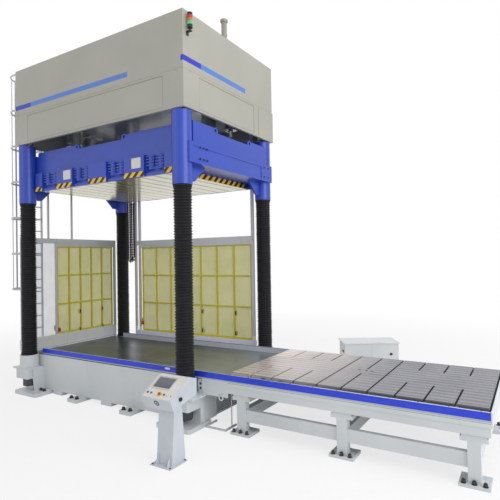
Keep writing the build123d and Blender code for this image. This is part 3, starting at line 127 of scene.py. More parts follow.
class Graph:
    def __init__(self, name, holder=None):
        self.material = holder or bpy.data.materials.new(name)
        self.material.use_nodes = True
        self.tree = self.material.node_tree
        self.tree.nodes.clear()

    def paleRays(self):
        # 1 where the camera, a mirror or a clear sheet looks straight at the surroundings
        rays = [self.node("LightPath", output=index) for index in (0, 3, 6)]
        return (rays[0] + rays[1] + rays[2]).fade()

    def node(self, kind, settings=None, sockets=None, output=0):
        made = self.tree.nodes.new("ShaderNode" + kind)
        for name, value in (settings or {}).items():
            setattr(made, name, value)
        for name, value in (sockets or {}).items():
            if isinstance(value, Sock):
                self.tree.links.new(value.socket, made.inputs[name])
            elif value is not None:
                made.inputs[name].default_value = value
        return Sock(self, made.outputs[output] if made.outputs else None)

    def split(self, kind, output):
        made = self.node("SeparateXYZ", None, {0: self.node(kind, output=output)})
        return [Sock(self, part) for part in made.socket.node.outputs]

    def place(self):
        # where a point is on the piece, in metres at rest
        return self.split("TexCoord", 3)

    def normal(self):
        # which way a face looks
        return self.split("NewGeometry", 1)

    def noise(self, scale, stretch=(1.0, 1.0, 1.0), detail=4.0, rough=0.55):
        mapped = self.node("Mapping", None, {0: self.node("TexCoord", output=3), 3: stretch})
        return self.node("TexNoise", None,
                         {"Vector": mapped, "Scale": scale, "Detail": detail, "Roughness": rough})

    def mix(self, factor, first, second):
        return self.node("Mix", {"data_type": "RGBA"}, {0: factor, 6: first, 7: second}, 2)

    def surface(self, tone, rough, bump=None, **others):
        # bump holds the height, the strength and the distance
        sockets = {"Base Color": tone, "Roughness": rough}
        if bump:
            sockets["Normal"] = self.node("Bump", None, dict(zip(("Height", "Strength", "Distance"), bump)))
        for name, value in others.items():
            sockets[name.replace("_", " ").title().replace("Ior", "IOR")] = value
        self.node("OutputMaterial", None, {0: self.node("BsdfPrincipled", None, sockets)})
        return self.material


def shade(colour, factor):
    return (*(min(1.0, part * factor) for part in colour[:3]), 1.0)


def enamel(name, colour, rough=0.36, dirt=0.10, peel=0.25, scale=1.0, metal=0.0):
    # sprayed machine paint: slow drift of tone, fine streaks that run down, orange peel
    graph = Graph(name)
    drift = graph.noise(0.9 * scale, detail=3.0)
    streaks = graph.noise(9.0 * scale, (1.0, 1.0, 0.12), detail=5.0)
    dust = graph.noise(46.0 * scale, detail=2.0)
    tone = graph.mix(drift.fade(0.35, 0.68), shade(colour, 1 - dirt), shade(colour, 1 + dirt * 0.5))
    tone = graph.mix(streaks.fade(0.55, 0.85) * (dirt * 2.2), tone, shade(colour, 0.62))
    height = graph.noise(330.0, detail=1.0) + graph.noise(70.0, detail=2.0) * 0.6
    return graph.surface(tone, dust * 0.10 + (rough - 0.05) + streaks * 0.06, (height, peel, 0.0006),
                         metallic=metal, coat_weight=0.12, coat_roughness=0.2)


def steelSheen(name, colour, rough, metal, streak, lay=(0.02, 1.0, 1.0), lines=None, along=None):
    # bare steel with the marks of the tool along X or as lay stretches them, darker where oil has
    # dried; along gives another tone at one end; lines paints grooves dark as painted shade, with
    # painted highlights along their edges at that end
    graph = Graph(name)
    marks = graph.noise(160.0, lay)
    broad = graph.noise(7.0, lay, detail=3.0)
    stain = graph.noise(1.3, detail=6.0, rough=0.65)
    blend = marks.fade(0.3, 0.7) * 0.5 + broad.fade(0.35, 0.7) * 0.5
    tone = graph.mix(blend, shade(colour, 1 - streak), shade(colour, 1 + streak))
    tone = graph.mix(stain.fade(0.52, 0.72) * 0.35, tone, shade(colour, 0.55))
    height = marks
    x, y = graph.place()[:2]
    if along:
        turned = (x + broad * 0.8).fade(along["from"] + 0.4, along["to"] + 0.4) * 0.85
        tone = graph.mix(turned, tone, along["tone"])
    if lines:
        pitch, half = lines["pitch"], lines["half"]
        upward = graph.normal()[2].over(0.6)
        reach = abs((y / pitch).fraction() - 0.5) * pitch
        # painted shade: each groove is painted near black where the shade inside a slot would fall
        groove = reach.under(half) * upward
        # painted highlight: a pale line beside each groove, only towards the end that along turns
        tone = graph.mix(reach.between(half, half * 2.6) * upward * turned * 0.6, tone, lines["bright"])
        tone = graph.mix(groove * lines["dark"], tone, shade(colour, 0.12))
        height = marks * 0.3 - groove
    return graph.surface(tone, rough + stain.fade(0.4, 0.7) * 0.14 + marks * 0.06, (height, 0.22, 0.0008),
                         metallic=metal)


def housingPaint():
    # grey paint with the seams of its panels and a stripe round the front and the right side
    panels = {"front": (-2.032, 2.032), "side": (-1.15, 0.75), "groove": (0.91, 0.94), "faceX": 2.47,
              "faceY": 1.55, "z": (5.7, 6.28), "line": 0.012, "seam": (6.322, 6.336)}
    stripes = {"front": (-2.6, -1.917, 1.129), "side": (-1.069, 0.428), "corner": 2.44, "faceX": 2.487,
               "faceY": -1.557, "z": (6.46, 6.56), "deep": rgb(30, 46, 190), "pale": rgb(84, 128, 208)}
    paint = rgb(176, 175, 165)
    graph = Graph("housingPaint")
    x, y, z = graph.place()
    drift = graph.noise(0.7, detail=3.0)
    streaks = graph.noise(6.0, (1.0, 1.0, 0.1), detail=5.0)
    tone = graph.mix(drift.fade(0.35, 0.7), shade(paint, 0.93), shade(paint, 1.03))
    tone = graph.mix(streaks.fade(0.6, 0.9) * 0.18, tone, shade(paint, 0.7))
    line = panels["line"]
    across = z.between(*panels["z"]) - z.between(panels["z"][0] + line, panels["z"][1] - line)
    faces = ((x, panels["front"], y, panels["faceY"]), (y, panels["side"], x, panels["faceX"]),
             (y, panels["groove"], x, panels["faceX"]))
    seams = z.between(*panels["seam"]) * 0.8
    for along, (start, end), outward, limit in faces:
        ends = along.between(start, start + line) + along.between(end - line, end)
        upright = ends * z.between(*panels["z"])
        seams = seams + (upright + across * along.between(start, end)) * abs(outward).over(limit)
    tone = graph.mix(seams.fade() * 0.55, tone, shade(paint, 0.35))
    band = z.between(*stripes["z"])
    front = y.under(stripes["faceY"]) * band
    side = x.over(stripes["faceX"]) * band
    start, middle, end = stripes["front"]
    deep = front * x.between(start, middle) + front * x.over(stripes["corner"])
    deep = deep + side * y.under(stripes["side"][0])
    pale = front * x.between(middle, end) + side * y.between(*stripes["side"])
    tone = graph.mix(pale.fade(), tone, stripes["pale"])
    tone = graph.mix(deep.fade(), tone, stripes["deep"])
    height = graph.noise(300.0, detail=1.0) + graph.noise(2.2, detail=2.0) * 3.0
    return graph.surface(tone, drift * 0.1 + 0.34, (height, 0.2, 0.0008), coat_weight=0.1,
                         coat_roughness=0.25)


def trayPaint():
    # painted frame with a steel top under the table
    tones = {"frame": (rgb(206, 211, 214), rgb(215, 220, 223)),
             "top": (rgb(132, 137, 142), rgb(160, 165, 170)), "topZ": 0.8}
    graph = Graph("trayPaint")
    z = graph.place()[2]
    top = graph.normal()[2].over(0.6) * z.over(tones["topZ"])
    drift = graph.noise(0.9, detail=3.0)
    marks = graph.noise(150.0, (0.02, 1.0, 1.0))
    paint = graph.mix(drift.fade(0.35, 0.68), *tones["frame"])
    steel = graph.mix(marks.fade(0.3, 0.7), *tones["top"])
    height = graph.noise(330.0, detail=1.0)
    return graph.surface(graph.mix(top, paint, steel), drift * 0.1 + 0.31, (height, 0.2, 0.0006),
                         metallic=top * 0.5)


def platenFinish():
    # ground steel underneath, with the slide's blue on its front and rear edges
    tones = {"ground": (rgb(188, 182, 150), rgb(208, 202, 172)), "stain": rgb(160, 152, 124),
             "blue": (rgb(47, 78, 188), rgb(40, 68, 172)), "edgeY": 1.28, "topZ": 4.652}
    graph = Graph("platenSteel")
    y, z = graph.place()[1:]
    marks = graph.noise(160.0, (1.0, 0.02, 1.0))
    stain = graph.noise(1.3, detail=6.0, rough=0.65)
    ground = graph.mix(marks.fade(0.3, 0.7), *tones["ground"])
    ground = graph.mix(stain.fade(0.52, 0.72) * 0.3, ground, tones["stain"])
    blue = graph.mix(stain.fade(0.4, 0.7), *tones["blue"])
    painted = (abs(y).over(tones["edgeY"]) + z.over(tones["topZ"])) * abs(graph.normal()[2]).under(0.5)
    tone = graph.mix(painted.fade(), ground, blue)
    return graph.surface(tone, stain * 0.10 + painted * 0.15 + 0.12, (marks, 0.2, 0.0006),
                         metallic=(1.0 - painted.fade()) * 0.6)


def guardPaint():
    # grey posts, with pale boards low on the left guard and the rear one
    boards = {"x": (-2.75, -2.59), "y": 1.43, "z": (0.895, 1.17), "tone": rgb(234, 235, 238)}
    graph = Graph("guardPaint")
    x, y, z = graph.place()
    sides = (x.under(boards["x"][1]) + y.over(boards["y"])).fade()
    board = z.between(*boards["z"]) * sides * x.over(boards["x"][0])
    scuffs = graph.noise(14.0, (1.0, 1.0, 0.15), detail=5.0)
    tone = graph.mix(board, rgb(198, 201, 207), boards["tone"])
    tone = graph.mix(scuffs.fade(0.55, 0.8) * 0.22, tone, rgb(120, 122, 126))
    grain = graph.noise(260.0, detail=1.0)
    return graph.surface(tone, scuffs * 0.12 + 0.32, (grain, 0.2, 0.0005), metallic=0.15)


def railPaint():
    # ground bright on top, blue on the outer side, grey inside and along the foot
    tones = {"bare": (rgb(176, 180, 184), rgb(216, 219, 222)), "blue": (rgb(38, 68, 219), rgb(30, 54, 196)),
             "foot": rgb(186, 190, 193), "footZ": 0.893, "inside": rgb(192, 197, 204), "insideZ": 0.988}
    graph = Graph("railPaint")
    y, z = graph.place()[1:]
    normal = graph.normal()
    top = normal[2].fade(0.45, 0.6)
    inside = (normal[1] * y).under(-0.3) * z.under(tones["insideZ"])
    marks = graph.noise(150.0, (0.02, 1.0, 1.0))
    wear = graph.noise(22.0, (0.4, 1.0, 1.0), detail=6.0)
    blue = graph.mix(wear.fade(0.4, 0.8), *tones["blue"])
    tone = graph.mix(z.under(tones["footZ"]), blue, tones["foot"])
    tone = graph.mix(inside, tone, tones["inside"])
    tone = graph.mix(top, tone, graph.mix(marks.fade(0.3, 0.7), *tones["bare"]))
    return graph.surface(tone, marks * 0.1 + 0.3, (marks, 0.15, 0.0005), metallic=top * 0.7)


def bellowsCloth():
    # coated cloth: weave, blotches of dust, and painted shade that darkens it into the roots of the pleats
    cloth = {"x": 2.31, "y": 1.41, "reach": (0.146, 0.171), "root": rgb(8, 8, 10), "crest": rgb(26, 27, 31),
             "dust": rgb(42, 42, 46)}
    graph = Graph("bellowsCloth")
    x, y = graph.place()[:2]
    reach = ((abs(x) - cloth["x"]) ** 2.0 + (abs(y) - cloth["y"]) ** 2.0) ** 0.5
    blotch = graph.noise(5.0, detail=5.0)
    weave = graph.noise(900.0, (1.0, 1.0, 0.6), detail=1.0)
    # painted shade: darker the nearer a point lies to the column's axis, down in the roots of the pleats
    tone = graph.mix(reach.fade(*cloth["reach"]), cloth["root"], cloth["crest"])
    tone = graph.mix(blotch.fade(0.5, 0.75) * 0.4, tone, cloth["dust"])
    return graph.surface(tone, blotch * 0.12 + 0.6, (weave, 0.35, 0.0006), specular_ior_level=0.25,
                         sheen_weight=0.05)


def plastic(name, colour, rough=0.45, grain=0.3, glow=0.0, coat=0.0):
    graph = Graph(name)
    mottle = graph.noise(60.0)
    tone = graph.mix(mottle.fade(0.35, 0.7), shade(colour, 0.88), shade(colour, 1.08))
    height = graph.noise(700.0, detail=1.0)
    return graph.surface(tone, mottle * 0.12 + (rough - 0.05), (height, grain, 0.0003), coat_weight=coat,
                         coat_roughness=0.08, emission_color=tone, emission_strength=glow)


def seeThrough(name, colour, alpha, rough=0.12):
    # clear or tinted sheet with a little dust and slow waves
    graph = Graph(name)
    dust = graph.noise(3.0, detail=6.0)
    waves = graph.noise(1.1, detail=1.0)
    tone = graph.mix(dust.fade(0.4, 0.75), colour, shade(colour, 0.86))
    made = graph.surface(tone, dust * 0.1 + rough, (waves, 0.2, 0.002), alpha=dust * 0.10 + (alpha - 0.05),
                         coat_weight=0.2, coat_roughness=0.05)
    made.surface_render_method = "BLENDED"
    return made


def screenGlass():
    # dark glass, paler towards its upper edge, with a few smears
    glass = {"z": (1.06, 1.2), "foot": rgb(48, 54, 72), "head": rgb(92, 98, 112), "smear": rgb(120, 124, 132)}
    graph = Graph("screenGlass")
    z = graph.place()[2]
    smear = graph.noise(9.0, detail=5.0)
    tone = graph.mix(z.fade(*glass["z"]), glass["foot"], glass["head"])
    tone = graph.mix(smear.fade(0.5, 0.8) * 0.3, tone, glass["smear"])
    return graph.surface(tone, smear * 0.12 + 0.06, coat_weight=0.6, coat_roughness=0.03)


def hazardPaint():
    # black and yellow diagonals, 45 degrees on a front or a side face alike
    strip = {"pitch": 0.19, "black": rgb(24, 24, 26), "yellow": rgb(246, 196, 22), "worn": rgb(90, 92, 110)}
    graph = Graph("hazardPaint")
    x, y, z = graph.place()
    stripe = ((x + y - z) / strip["pitch"]).fraction().over(0.5)
    wear = graph.noise(40.0, detail=5.0)
    tone = graph.mix(stripe, strip["black"], strip["yellow"])
    tone = graph.mix(wear.fade(0.62, 0.85) * 0.4, tone, strip["worn"])
    return graph.surface(tone, wear * 0.2 + 0.35, (wear, 0.1, 0.0004))


around = (0.04, 0.04, 1.0)
looks = {
    "bed_paint": enamel("bedPaint", rgb(212, 217, 220), dirt=0.07),
    "deck_steel": steelSheen("deckSteel", rgb(90, 95, 103), 0.27, 0.6, 0.45,
                             along={"from": 0.7, "to": 2.45, "tone": rgb(158, 166, 174)}),
    # painted reflection: the table is pale towards -X as a painted highlight and turns darker and bluish
    # towards +X
    "table_steel": steelSheen("tableSteel", rgb(228, 219, 213), 0.34, 0.72, 0.16,
                              lines={"pitch": 0.15, "half": 0.008, "dark": 0.9, "bright": rgb(226, 228, 234)},
                              along={"from": 3.4, "to": 5.4, "tone": rgb(90, 96, 110)}),
    "rail_steel": railPaint(),
    "platen_steel": platenFinish(),
    "slide_blue": enamel("slideBlue", rgb(43, 74, 186), 0.32, 0.08),
    "barrel_steel": steelSheen("barrelSteel", rgb(196, 198, 200), 0.24, 0.95, 0.1, around),
    "column_chrome": steelSheen("columnChrome", rgb(222, 224, 226), 0.10, 1.0, 0.04, around),
    "nut_steel": steelSheen("nutSteel", rgb(74, 75, 78), 0.42, 0.7, 0.25, around),
    # painted light: the crown's paint is set paler than its own colour, standing in for light under the
    # crown, where little reaches
    "crown_paint": enamel("crownPaintWithPaintedLight", rgb(188, 196, 190), 0.2, 0.2),
    "housing_paint": housingPaint(),
    "inner_paint": enamel("innerPaint", rgb(132, 140, 146), 0.4, 0.1),
    "vent_steel": enamel("ventSteel", rgb(152, 146, 141), 0.36, 0.08, metal=0.4),
    "bellows_rubber": bellowsCloth(),
    "guard_paint": guardPaint(),
    "clear_pane": seeThrough("clearPane", rgb(188, 196, 206), 0.28),
    "gate_yellow": enamel("gateYellow", rgb(206, 198, 44), 0.4, 0.06),
    "gate_sheet": seeThrough("gateSheet", rgb(208, 204, 40), 0.55, 0.2),
    "chain_plastic": plastic("chainPlastic", rgb(30, 30, 32), 0.5),
    "pedestal_paint": enamel("pedestalPaint", rgb(205, 211, 219), 0.36, 0.05, scale=4.0),
    "face_steel": enamel("faceSteel", rgb(229, 224, 217), 0.34, 0.05, scale=5.0),
    "screen_glass": screenGlass(),
    "dark_plastic": plastic("darkPlastic", rgb(28, 28, 31), 0.42),
    "button_blue": plastic("buttonBlue", rgb(30, 84, 190), 0.3, 0.1, coat=0.3),
    "button_white": plastic("buttonWhite", rgb(232, 232, 228), 0.3, 0.1, coat=0.3),
    "button_red": plastic("buttonRed", rgb(200, 22, 24), 0.3, 0.1, coat=0.3),
    "lens_green": plastic("lensGreen", rgb(34, 178, 110), 0.25, 0.1, glow=0.6, coat=0.4),
    "lens_amber": plastic("lensAmber", rgb(206, 120, 26), 0.25, 0.1, glow=0.03, coat=0.4),
    "lens_red": plastic("lensRed", rgb(206, 38, 34), 0.25, 0.1, glow=0.06, coat=0.4),
    "cabinet_paint": enamel("cabinetPaint", rgb(222, 225, 225), 0.38, 0.05, scale=2.0),
}
hazard = hazardPaint()
plateWhite = plastic("plateWhite", rgb(224, 224, 218), 0.4, 0.1)
estopYellow = plastic("estopYellow", rgb(240, 200, 24), 0.38, 0.1)
brightMetal = steelSheen("brightMetal", rgb(206, 208, 210), 0.22, 0.95, 0.08)
print("materials made:", len(bpy.data.materials))


# Every solid gets its finish, rounded edges and smooth normals

dressing = {
    "edge": 0.004, "fine": 0.0012, "segments": 2, "angle": 33.0, "weld": 0.00002, "flat": 0.4, "weight": 60,
    "sharp": 38.0,
    "fineNodes": {"console_face", "console_screen", "side_knob", "signal_housing", "gate_interlocks",
                  "estop_button", "left_guard_pane", "left_gate_sheet", "rear_gate_sheet"},
    "windowNodes": {"left_gate_frame", "rear_gate_frame", "bed_grille", "console_box", "ladder"},
}


def weighNormals(obj):
    normals = obj.modifiers.new("normals", "WEIGHTED_NORMAL")
    normals.keep_sharp = True
    normals.weight = dressing["weight"]


def softenEdges(obj, width, windows):
    weld = obj.modifiers.new("weld", "WELD")
    weld.merge_threshold = dressing["weld"]
    if not windows:
        flat = obj.modifiers.new("flat", "DECIMATE")
        flat.decimate_type = "DISSOLVE"
        flat.angle_limit = math.radians(dressing["flat"])
    edge = obj.modifiers.new("edge", "BEVEL")
    edge.width = width
    edge.segments = dressing["segments"]
    edge.angle_limit = math.radians(dressing["angle"])
    edge.miter_outer = "MITER_ARC"
    weighNormals(obj)


slotOf = {part["node"]: part["material_slot"] for part in frame["record"]["subparts"]}
tray = trayPaint()
for nodeName, node in frame["nodes"].items():
    look = tray if nodeName == "extension_frame" else looks[slotOf[nodeName]]
    if not node.material_slots:
        node.data.materials.append(look)
    for materialSlot in node.material_slots:
        materialSlot.material = look
    node.data.shade_smooth()
    if nodeName == "guide_columns":
        split = node.modifiers.new("split", "EDGE_SPLIT")
        split.split_angle = math.radians(dressing["angle"])
    else:
        windows = nodeName in dressing["windowNodes"]
        small = windows or nodeName in dressing["fineNodes"] or nodeName.startswith("push_button")
        softenEdges(node, dressing["fine" if small else "edge"], windows)
print("solids dressed:", len(frame["nodes"]))


# What the added pieces are made with

def at(x, y, z=0.0):
    return Matrix.Translation((x, y, z))


def facing(point, direction):
    # a place whose Z looks along direction
    return at(*point) @ Vector(direction).to_track_quat("Z", "Y").to_matrix().to_4x4()


def addBox(mesh, first, second, matrix=None):
    # between two opposite corners, whichever way round they are
    spans = [sorted(pair) for pair in zip(first, second)]
    corners = [mesh.verts.new((x, y, z)) for x in spans[0] for y in spans[1] for z in spans[2]]
    for side in ((0, 1, 3, 2), (4, 6, 7, 5), (0, 4, 5, 1), (2, 3, 7, 6), (0, 2, 6, 4), (1, 5, 7, 3)):
        mesh.faces.new([corners[index] for index in side])
    if matrix:
        bmesh.ops.transform(mesh, matrix=matrix, verts=corners)


def addLathe(mesh, profile, sides, matrix=None, closed=False, wobble=None):
    # turns a list of (radius, height) round Z, with caps at both ends unless the profile closes on itself
    rings = []
    for index, (radius, height) in enumerate(profile):
        ring = []
        for side in range(sides):
            angle = 2 * math.pi * side / sides
            reach = radius + (wobble(index, angle) if wobble else 0.0)
            ring.append(mesh.verts.new((reach * math.cos(angle), reach * math.sin(angle), height)))
        rings.append(ring)
    for lower, upper in zip(rings, rings[1:] + (rings[:1] if closed else [])):
        for side in range(sides):
            other = (side + 1) % sides
            mesh.faces.new((lower[side], lower[other], upper[other], upper[side]))
    if not closed:
        mesh.faces.new(rings[0][::-1])
        mesh.faces.new(rings[-1])
    if matrix:
        bmesh.ops.transform(mesh, matrix=matrix, verts=[vert for ring in rings for vert in ring])


def addPrism(mesh, outline, length, place):
    # an outline of (y, z) points on a place, carried along its X
    lower = [mesh.verts.new((0.0, y, z)) for y, z in outline]
    upper = [mesh.verts.new((length, y, z)) for y, z in outline]
    mesh.faces.new(lower[::-1])
    mesh.faces.new(upper)
    for index in range(len(outline)):
        other = (index + 1) % len(outline)
        mesh.faces.new((lower[index], lower[other], upper[other], upper[index]))
    bmesh.ops.transform(mesh, matrix=place, verts=lower + upper)


def addScrew(mesh, place, radius, height):
    # washer and domed hexagon head
    addLathe(mesh, [(radius * 1.35, 0.0), (radius * 1.35, height * 0.22)], 20, place)
    addLathe(mesh, [(radius, height * 0.22), (radius, height * 0.85), (radius * 0.82, height)], 6, place)


def spread(start, length, count):
    # evenly spaced places along a length
    return [start + index * length / (count - 1) for index in range(count)]


def addObject(name, data):
    made = bpy.data.objects.new(name, data)
    bpy.context.scene.collection.objects.link(made)
    return made


def addMesh(name, mesh, look):
    data = bpy.data.meshes.new(name)
    mesh.to_mesh(data)
    mesh.free()
    data.materials.append(look)
    return addObject(name, data)


def makePiece(name, mesh, slotName, body="press", replaced=(), edge=0.0, look=None, flatShade=False):
    bmesh.ops.recalc_face_normals(mesh, faces=mesh.faces)
    if edge:
        sharp = [side for side in mesh.edges
                 if len(side.link_faces) == 2 and side.calc_face_angle(0.0) > math.radians(dressing["sharp"])]
        bmesh.ops.bevel(mesh, geom=sharp, offset=edge, segments=2, profile=0.6, affect="EDGES",
                        clamp_overlap=True)
    obj = addMesh(name, mesh, look or looks[slotName])
    if not flatShade:
        obj.data.shade_smooth()
        weighNormals(obj)
    if replaced:
        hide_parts(*replaced)
    if body:
        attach(obj, body)
    return obj


def makeTurned(name, profile, sides, place, slotName, body="press", closed=False, **others):
    mesh = bmesh.new()
    addLathe(mesh, profile, sides, place, closed)
    return makePiece(name, mesh, slotName, body, **others)


# Bellows round the columns: many pleats between two cuffs

bellows = {
    "x": 2.31, "y": 1.41, "bottom": 0.875, "top": 4.3197, "crest": 0.1722, "root": 0.143, "bore": 0.125,
    "cuff": 0.04, "lip": 0.006, "pleats": 66, "sides": 48, "unevenness": 0.0055, "sway": 0.0012,
    "keep": 0.4194, "seed": 11,
}
for sideName, signY in (("front", -1), ("rear", 1)):
    for endName, signX in (("left", -1), ("right", 1)):
        chance = random.Random(bellows["seed"] + signX + 3 * signY)
        bottom, top, outer = bellows["bottom"], bellows["top"], bellows["crest"]
        start, end = bottom + bellows["cuff"], top - bellows["cuff"]
        inner = outer - bellows["lip"]
        pitch = (end - start) / bellows["pleats"]
        profile = [(bellows["bore"], bottom), (outer, bottom), (outer, start - 0.012), (inner, start - 0.008),
                   (inner, start - 0.002)]
        for pleat in range(bellows["pleats"]):
            z = start + pleat * pitch + chance.uniform(-0.1, 0.1) * pitch
            crest = outer - chance.random() * bellows["unevenness"]
            root = bellows["root"] + chance.random() * 0.004
            profile += [(root, z + 0.10 * pitch), (crest - 0.003, z + 0.42 * pitch),
                        (crest, z + 0.55 * pitch), (crest - 0.003, z + 0.68 * pitch)]
        profile += [(bellows["root"], end), (inner, end + 0.004), (inner, end + 0.009), (outer, end + 0.013),
                    (outer, top), (bellows["bore"], top)]
        phase = chance.uniform(0.0, 6.0)
        folds = range(5, len(profile) - 6)

        def sway(index, angle):
            if index not in folds:
                return 0.0
            return bellows["sway"] * math.sin(3 * angle + phase + index * 0.37) - bellows["sway"]

        mesh = bmesh.new()
        place = at(signX * bellows["x"], signY * bellows["y"])
        addLathe(mesh, profile, bellows["sides"], place, closed=True, wobble=sway)
        side = f"{sideName}_{endName}"
        piece = makePiece(f"pleats_{side}", mesh, "bellows_rubber", replaced=(f"bellows_{side}",))
        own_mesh(piece)
print("bellows made")


# Cable chain behind the slide: links along two strands and a bend

chain = {
    "x": -1.96, "y": (1.3755, 1.4295), "bendZ": 3.05, "radius": 0.07, "half": 0.049, "pitch": 0.07,
    "moving": 4.585, "fixed": 6.098, "plate": 0.009, "bar": 0.006,
    "cables": ((-0.020, 0.007), (0.016, 0.006)), "bendLinks": 2, "bendLap": 1.05,
}
chainY = (chain["y"][0] + chain["y"][1]) / 2


def addLink(mesh, place, pitch):
    # two side plates with lapped ends, two cross bars and two cables, X across the strand and Z along it
    half, plate, bar = chain["half"], chain["plate"], chain["bar"]
    depth = (chain["y"][1] - chain["y"][0]) / 2
    for sign in (-1, 1):
        outer, inner, lap = sign * half, sign * (half - plate), sign * plate * 0.8
        addBox(mesh, (outer, -depth, 0.06 * pitch), (inner, depth, 0.62 * pitch), place)
        addBox(mesh, (outer - lap, -depth * 0.8, 0.55 * pitch),
               (inner - lap, depth * 0.8, 1.1 * pitch), place)
        addBox(mesh, (-half + plate, sign * depth, 0.2 * pitch),
               (half - plate, sign * (depth - bar), 0.5 * pitch), place)
    for x, radius in chain["cables"]:
        addLathe(mesh, [(radius, -0.02 * pitch), (radius, 1.02 * pitch)], 8, place @ at(x, 0.0))


def makeStrand(name, side, top, first):
    # links up one strand, then round the quarter of the bend that starts at the angle first off -Z
    radius, mesh = chain["radius"], bmesh.new()
    count = round((top - chain["bendZ"]) / chain["pitch"])
    step = (top - chain["bendZ"]) / count
    for index in range(count):
        addLink(mesh, at(chain["x"] + side * radius, chainY, chain["bendZ"] + index * step), step)
    step = math.pi / 2 / chain["bendLinks"]
    for index in range(chain["bendLinks"]):
        angle = first + index * step
        place = at(chain["x"] + radius * math.sin(angle), chainY, chain["bendZ"] - radius * math.cos(angle))
        turn = Matrix.Rotation(-angle + math.pi / 2, 4, "Y")
        addLink(mesh, place @ turn, radius * step * chain["bendLap"])
    return makePiece(name, mesh, "chain_plastic", body=None, replaced=("cable_chain",), flatShade=True)


moving = makeStrand("chain_moving_strand", 1, chain["moving"], 0.0)
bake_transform(moving)
fixedStrand = makeStrand("chain_fixed_strand", -1, chain["fixed"], -math.pi / 2)
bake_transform(fixedStrand)
print("cable chain made")


# Bolts on the floor plates: washer, nut and stud

anchors = {
    "height": 0.054,
    "legs": {"x": (3.338, 5.131, 6.924), "pitch": (-0.13, 0.0, 0.13), "y": 1.223, "z": 0.048, "flats": 0.046},
    "feet": {"x": (-0.77, 0.81), "pitch": (-0.09, 0.09), "y": 1.39, "z": 0.08, "flats": 0.062},
    "plates": {"x": (-1.977, 1.977, -1.857, 1.857), "pitch": (0.0,), "y": 1.35, "z": 0.08, "flats": 0.055},
}


def addAnchor(mesh, place, flats):
    washer = [(0.74, 0.0), (0.74, 0.14)]
    nut = [(0.55, 0.14), (0.577, 0.18), (0.577, 0.78), (0.52, 0.84)]
    stud = [(0.34, 0.7), (0.34, 0.96), (0.29, 1.0)]
    for profile, sides in ((washer, 24), (nut, 6), (stud, 16)):
        addLathe(mesh, [(flats * reach, anchors["height"] * rise) for reach, rise in profile], sides, place)


mesh = bmesh.new()
for signY in (-1, 1):
    for row in (anchors["legs"], anchors["feet"], anchors["plates"]):
        for x in row["x"]:
            for offset in row["pitch"]:
                addAnchor(mesh, at(x + offset, signY * row["y"], row["z"]), row["flats"])
makePiece("anchor_nuts", mesh, "nut_steel", replaced=("floor_bolts",))


# Slide: hazard strips, bare sign plates, screws on the side boxes, cores and welds

slide = {
    "blocks": ((-2.087, -1.842), (-1.326, -0.786), (-0.27, 0.27), (0.786, 1.326), (1.842, 2.086)),
    "face": 1.366, "proud": 0.002, "stripEnd": 0.003, "stripZ": (4.592, 4.690),
    "edgeX": 1.975, "edgeY": (-0.5, 1.21), "edgeZ": (4.600, 4.700),
    "signX": ((-1.084, -0.838), (0.997, 1.243)), "signZ": (4.76, 4.96), "signT": 0.003, "rivetIn": 0.015,
    "boxX": 2.53, "boxScrewY": (-1.155, -1.05, -0.95, 1.12, 1.30), "boxScrewZ": (4.80, 5.01),
    "coreR": 0.088, "coreY": 1.247, "coreOff": 0.125, "coreZ": (4.70, 4.985), "coreEdge": 0.008,
    "weldR": 0.006, "weldY": 1.289, "weldZ": (4.655, 5.001), "weldH": 0.34, "weldEnd": 2.08,
}
face, edge, proud, inset = slide["face"], slide["edgeX"], slide["proud"], slide["stripEnd"]
mesh = bmesh.new()
for x0, x1 in slide["blocks"]:
    for sign in (-1, 1):
        addBox(mesh, *zip((x0 + inset, x1 - inset), (sign * face, sign * (face + proud)), slide["stripZ"]))
for sign in (-1, 1):
    addBox(mesh, *zip((sign * edge, sign * (edge + proud)), slide["edgeY"], slide["edgeZ"]))
makePiece("hazard_strips", mesh, "dark_plastic", "slide", look=hazard, flatShade=True)

mesh, rivets = bmesh.new(), bmesh.new()
front, inset, (z0, z1) = -face - slide["signT"], slide["rivetIn"], slide["signZ"]
for x0, x1 in slide["signX"]:
    addBox(mesh, (x0, front, z0), (x1, -face, z1))
    for x in (x0 + inset, x1 - inset):
        for z in (z0 + inset, z1 - inset):
            place = facing((x, front, z), (0, -1, 0))
            addLathe(rivets, [(0.006, 0.0), (0.005, 0.002), (0.002, 0.003)], 12, place)
makePiece("sign_plates", mesh, "button_white", "slide", edge=0.001, look=plateWhite)
for y in slide["boxScrewY"]:
    for z in slide["boxScrewZ"]:
        for sign in (-1, 1):
            addScrew(rivets, facing((sign * slide["boxX"], y, z), (sign, 0, 0)), 0.016, 0.014)
makePiece("slide_screws", rivets, "nut_steel", "slide")

# round cores that carry the fins in the pockets of the front
mesh = bmesh.new()
radius, bevel, (z0, z1) = slide["coreR"], slide["coreEdge"], slide["coreZ"]
profile = [(radius - bevel, z0), (radius, z0 + bevel), (radius, z1 - bevel), (radius - bevel, z1)]
for before, after in zip(slide["blocks"], slide["blocks"][1:]):
    centre = (before[1] + after[0]) / 2
    for offset in (-slide["coreOff"], slide["coreOff"]):
        addLathe(mesh, profile, 32, at(centre + offset, -slide["coreY"]))
makePiece("pocket_cores", mesh, "slide_blue", "slide")

# welds up the sides of the blocks and along their tops
mesh = bmesh.new()
radius = slide["weldR"]
for x0, x1 in slide["blocks"]:
    for sign in (-1, 1):
        y = sign * slide["weldY"]
        for x in (x0, x1):
            if abs(x) < slide["weldEnd"]:
                addLathe(mesh, [(radius, 0.0), (radius, slide["weldH"])], 8, at(x, y, slide["weldZ"][0]))
        top = facing((x0, y, slide["weldZ"][1]), (1, 0, 0))
        addLathe(mesh, [(radius, 0.0), (radius, x1 - x0)], 8, top)
makePiece("slide_welds", mesh, "slide_blue", "slide")
print("slide trimmed")


# Housing: screws round the skirt panels, vent pipe, lens rings

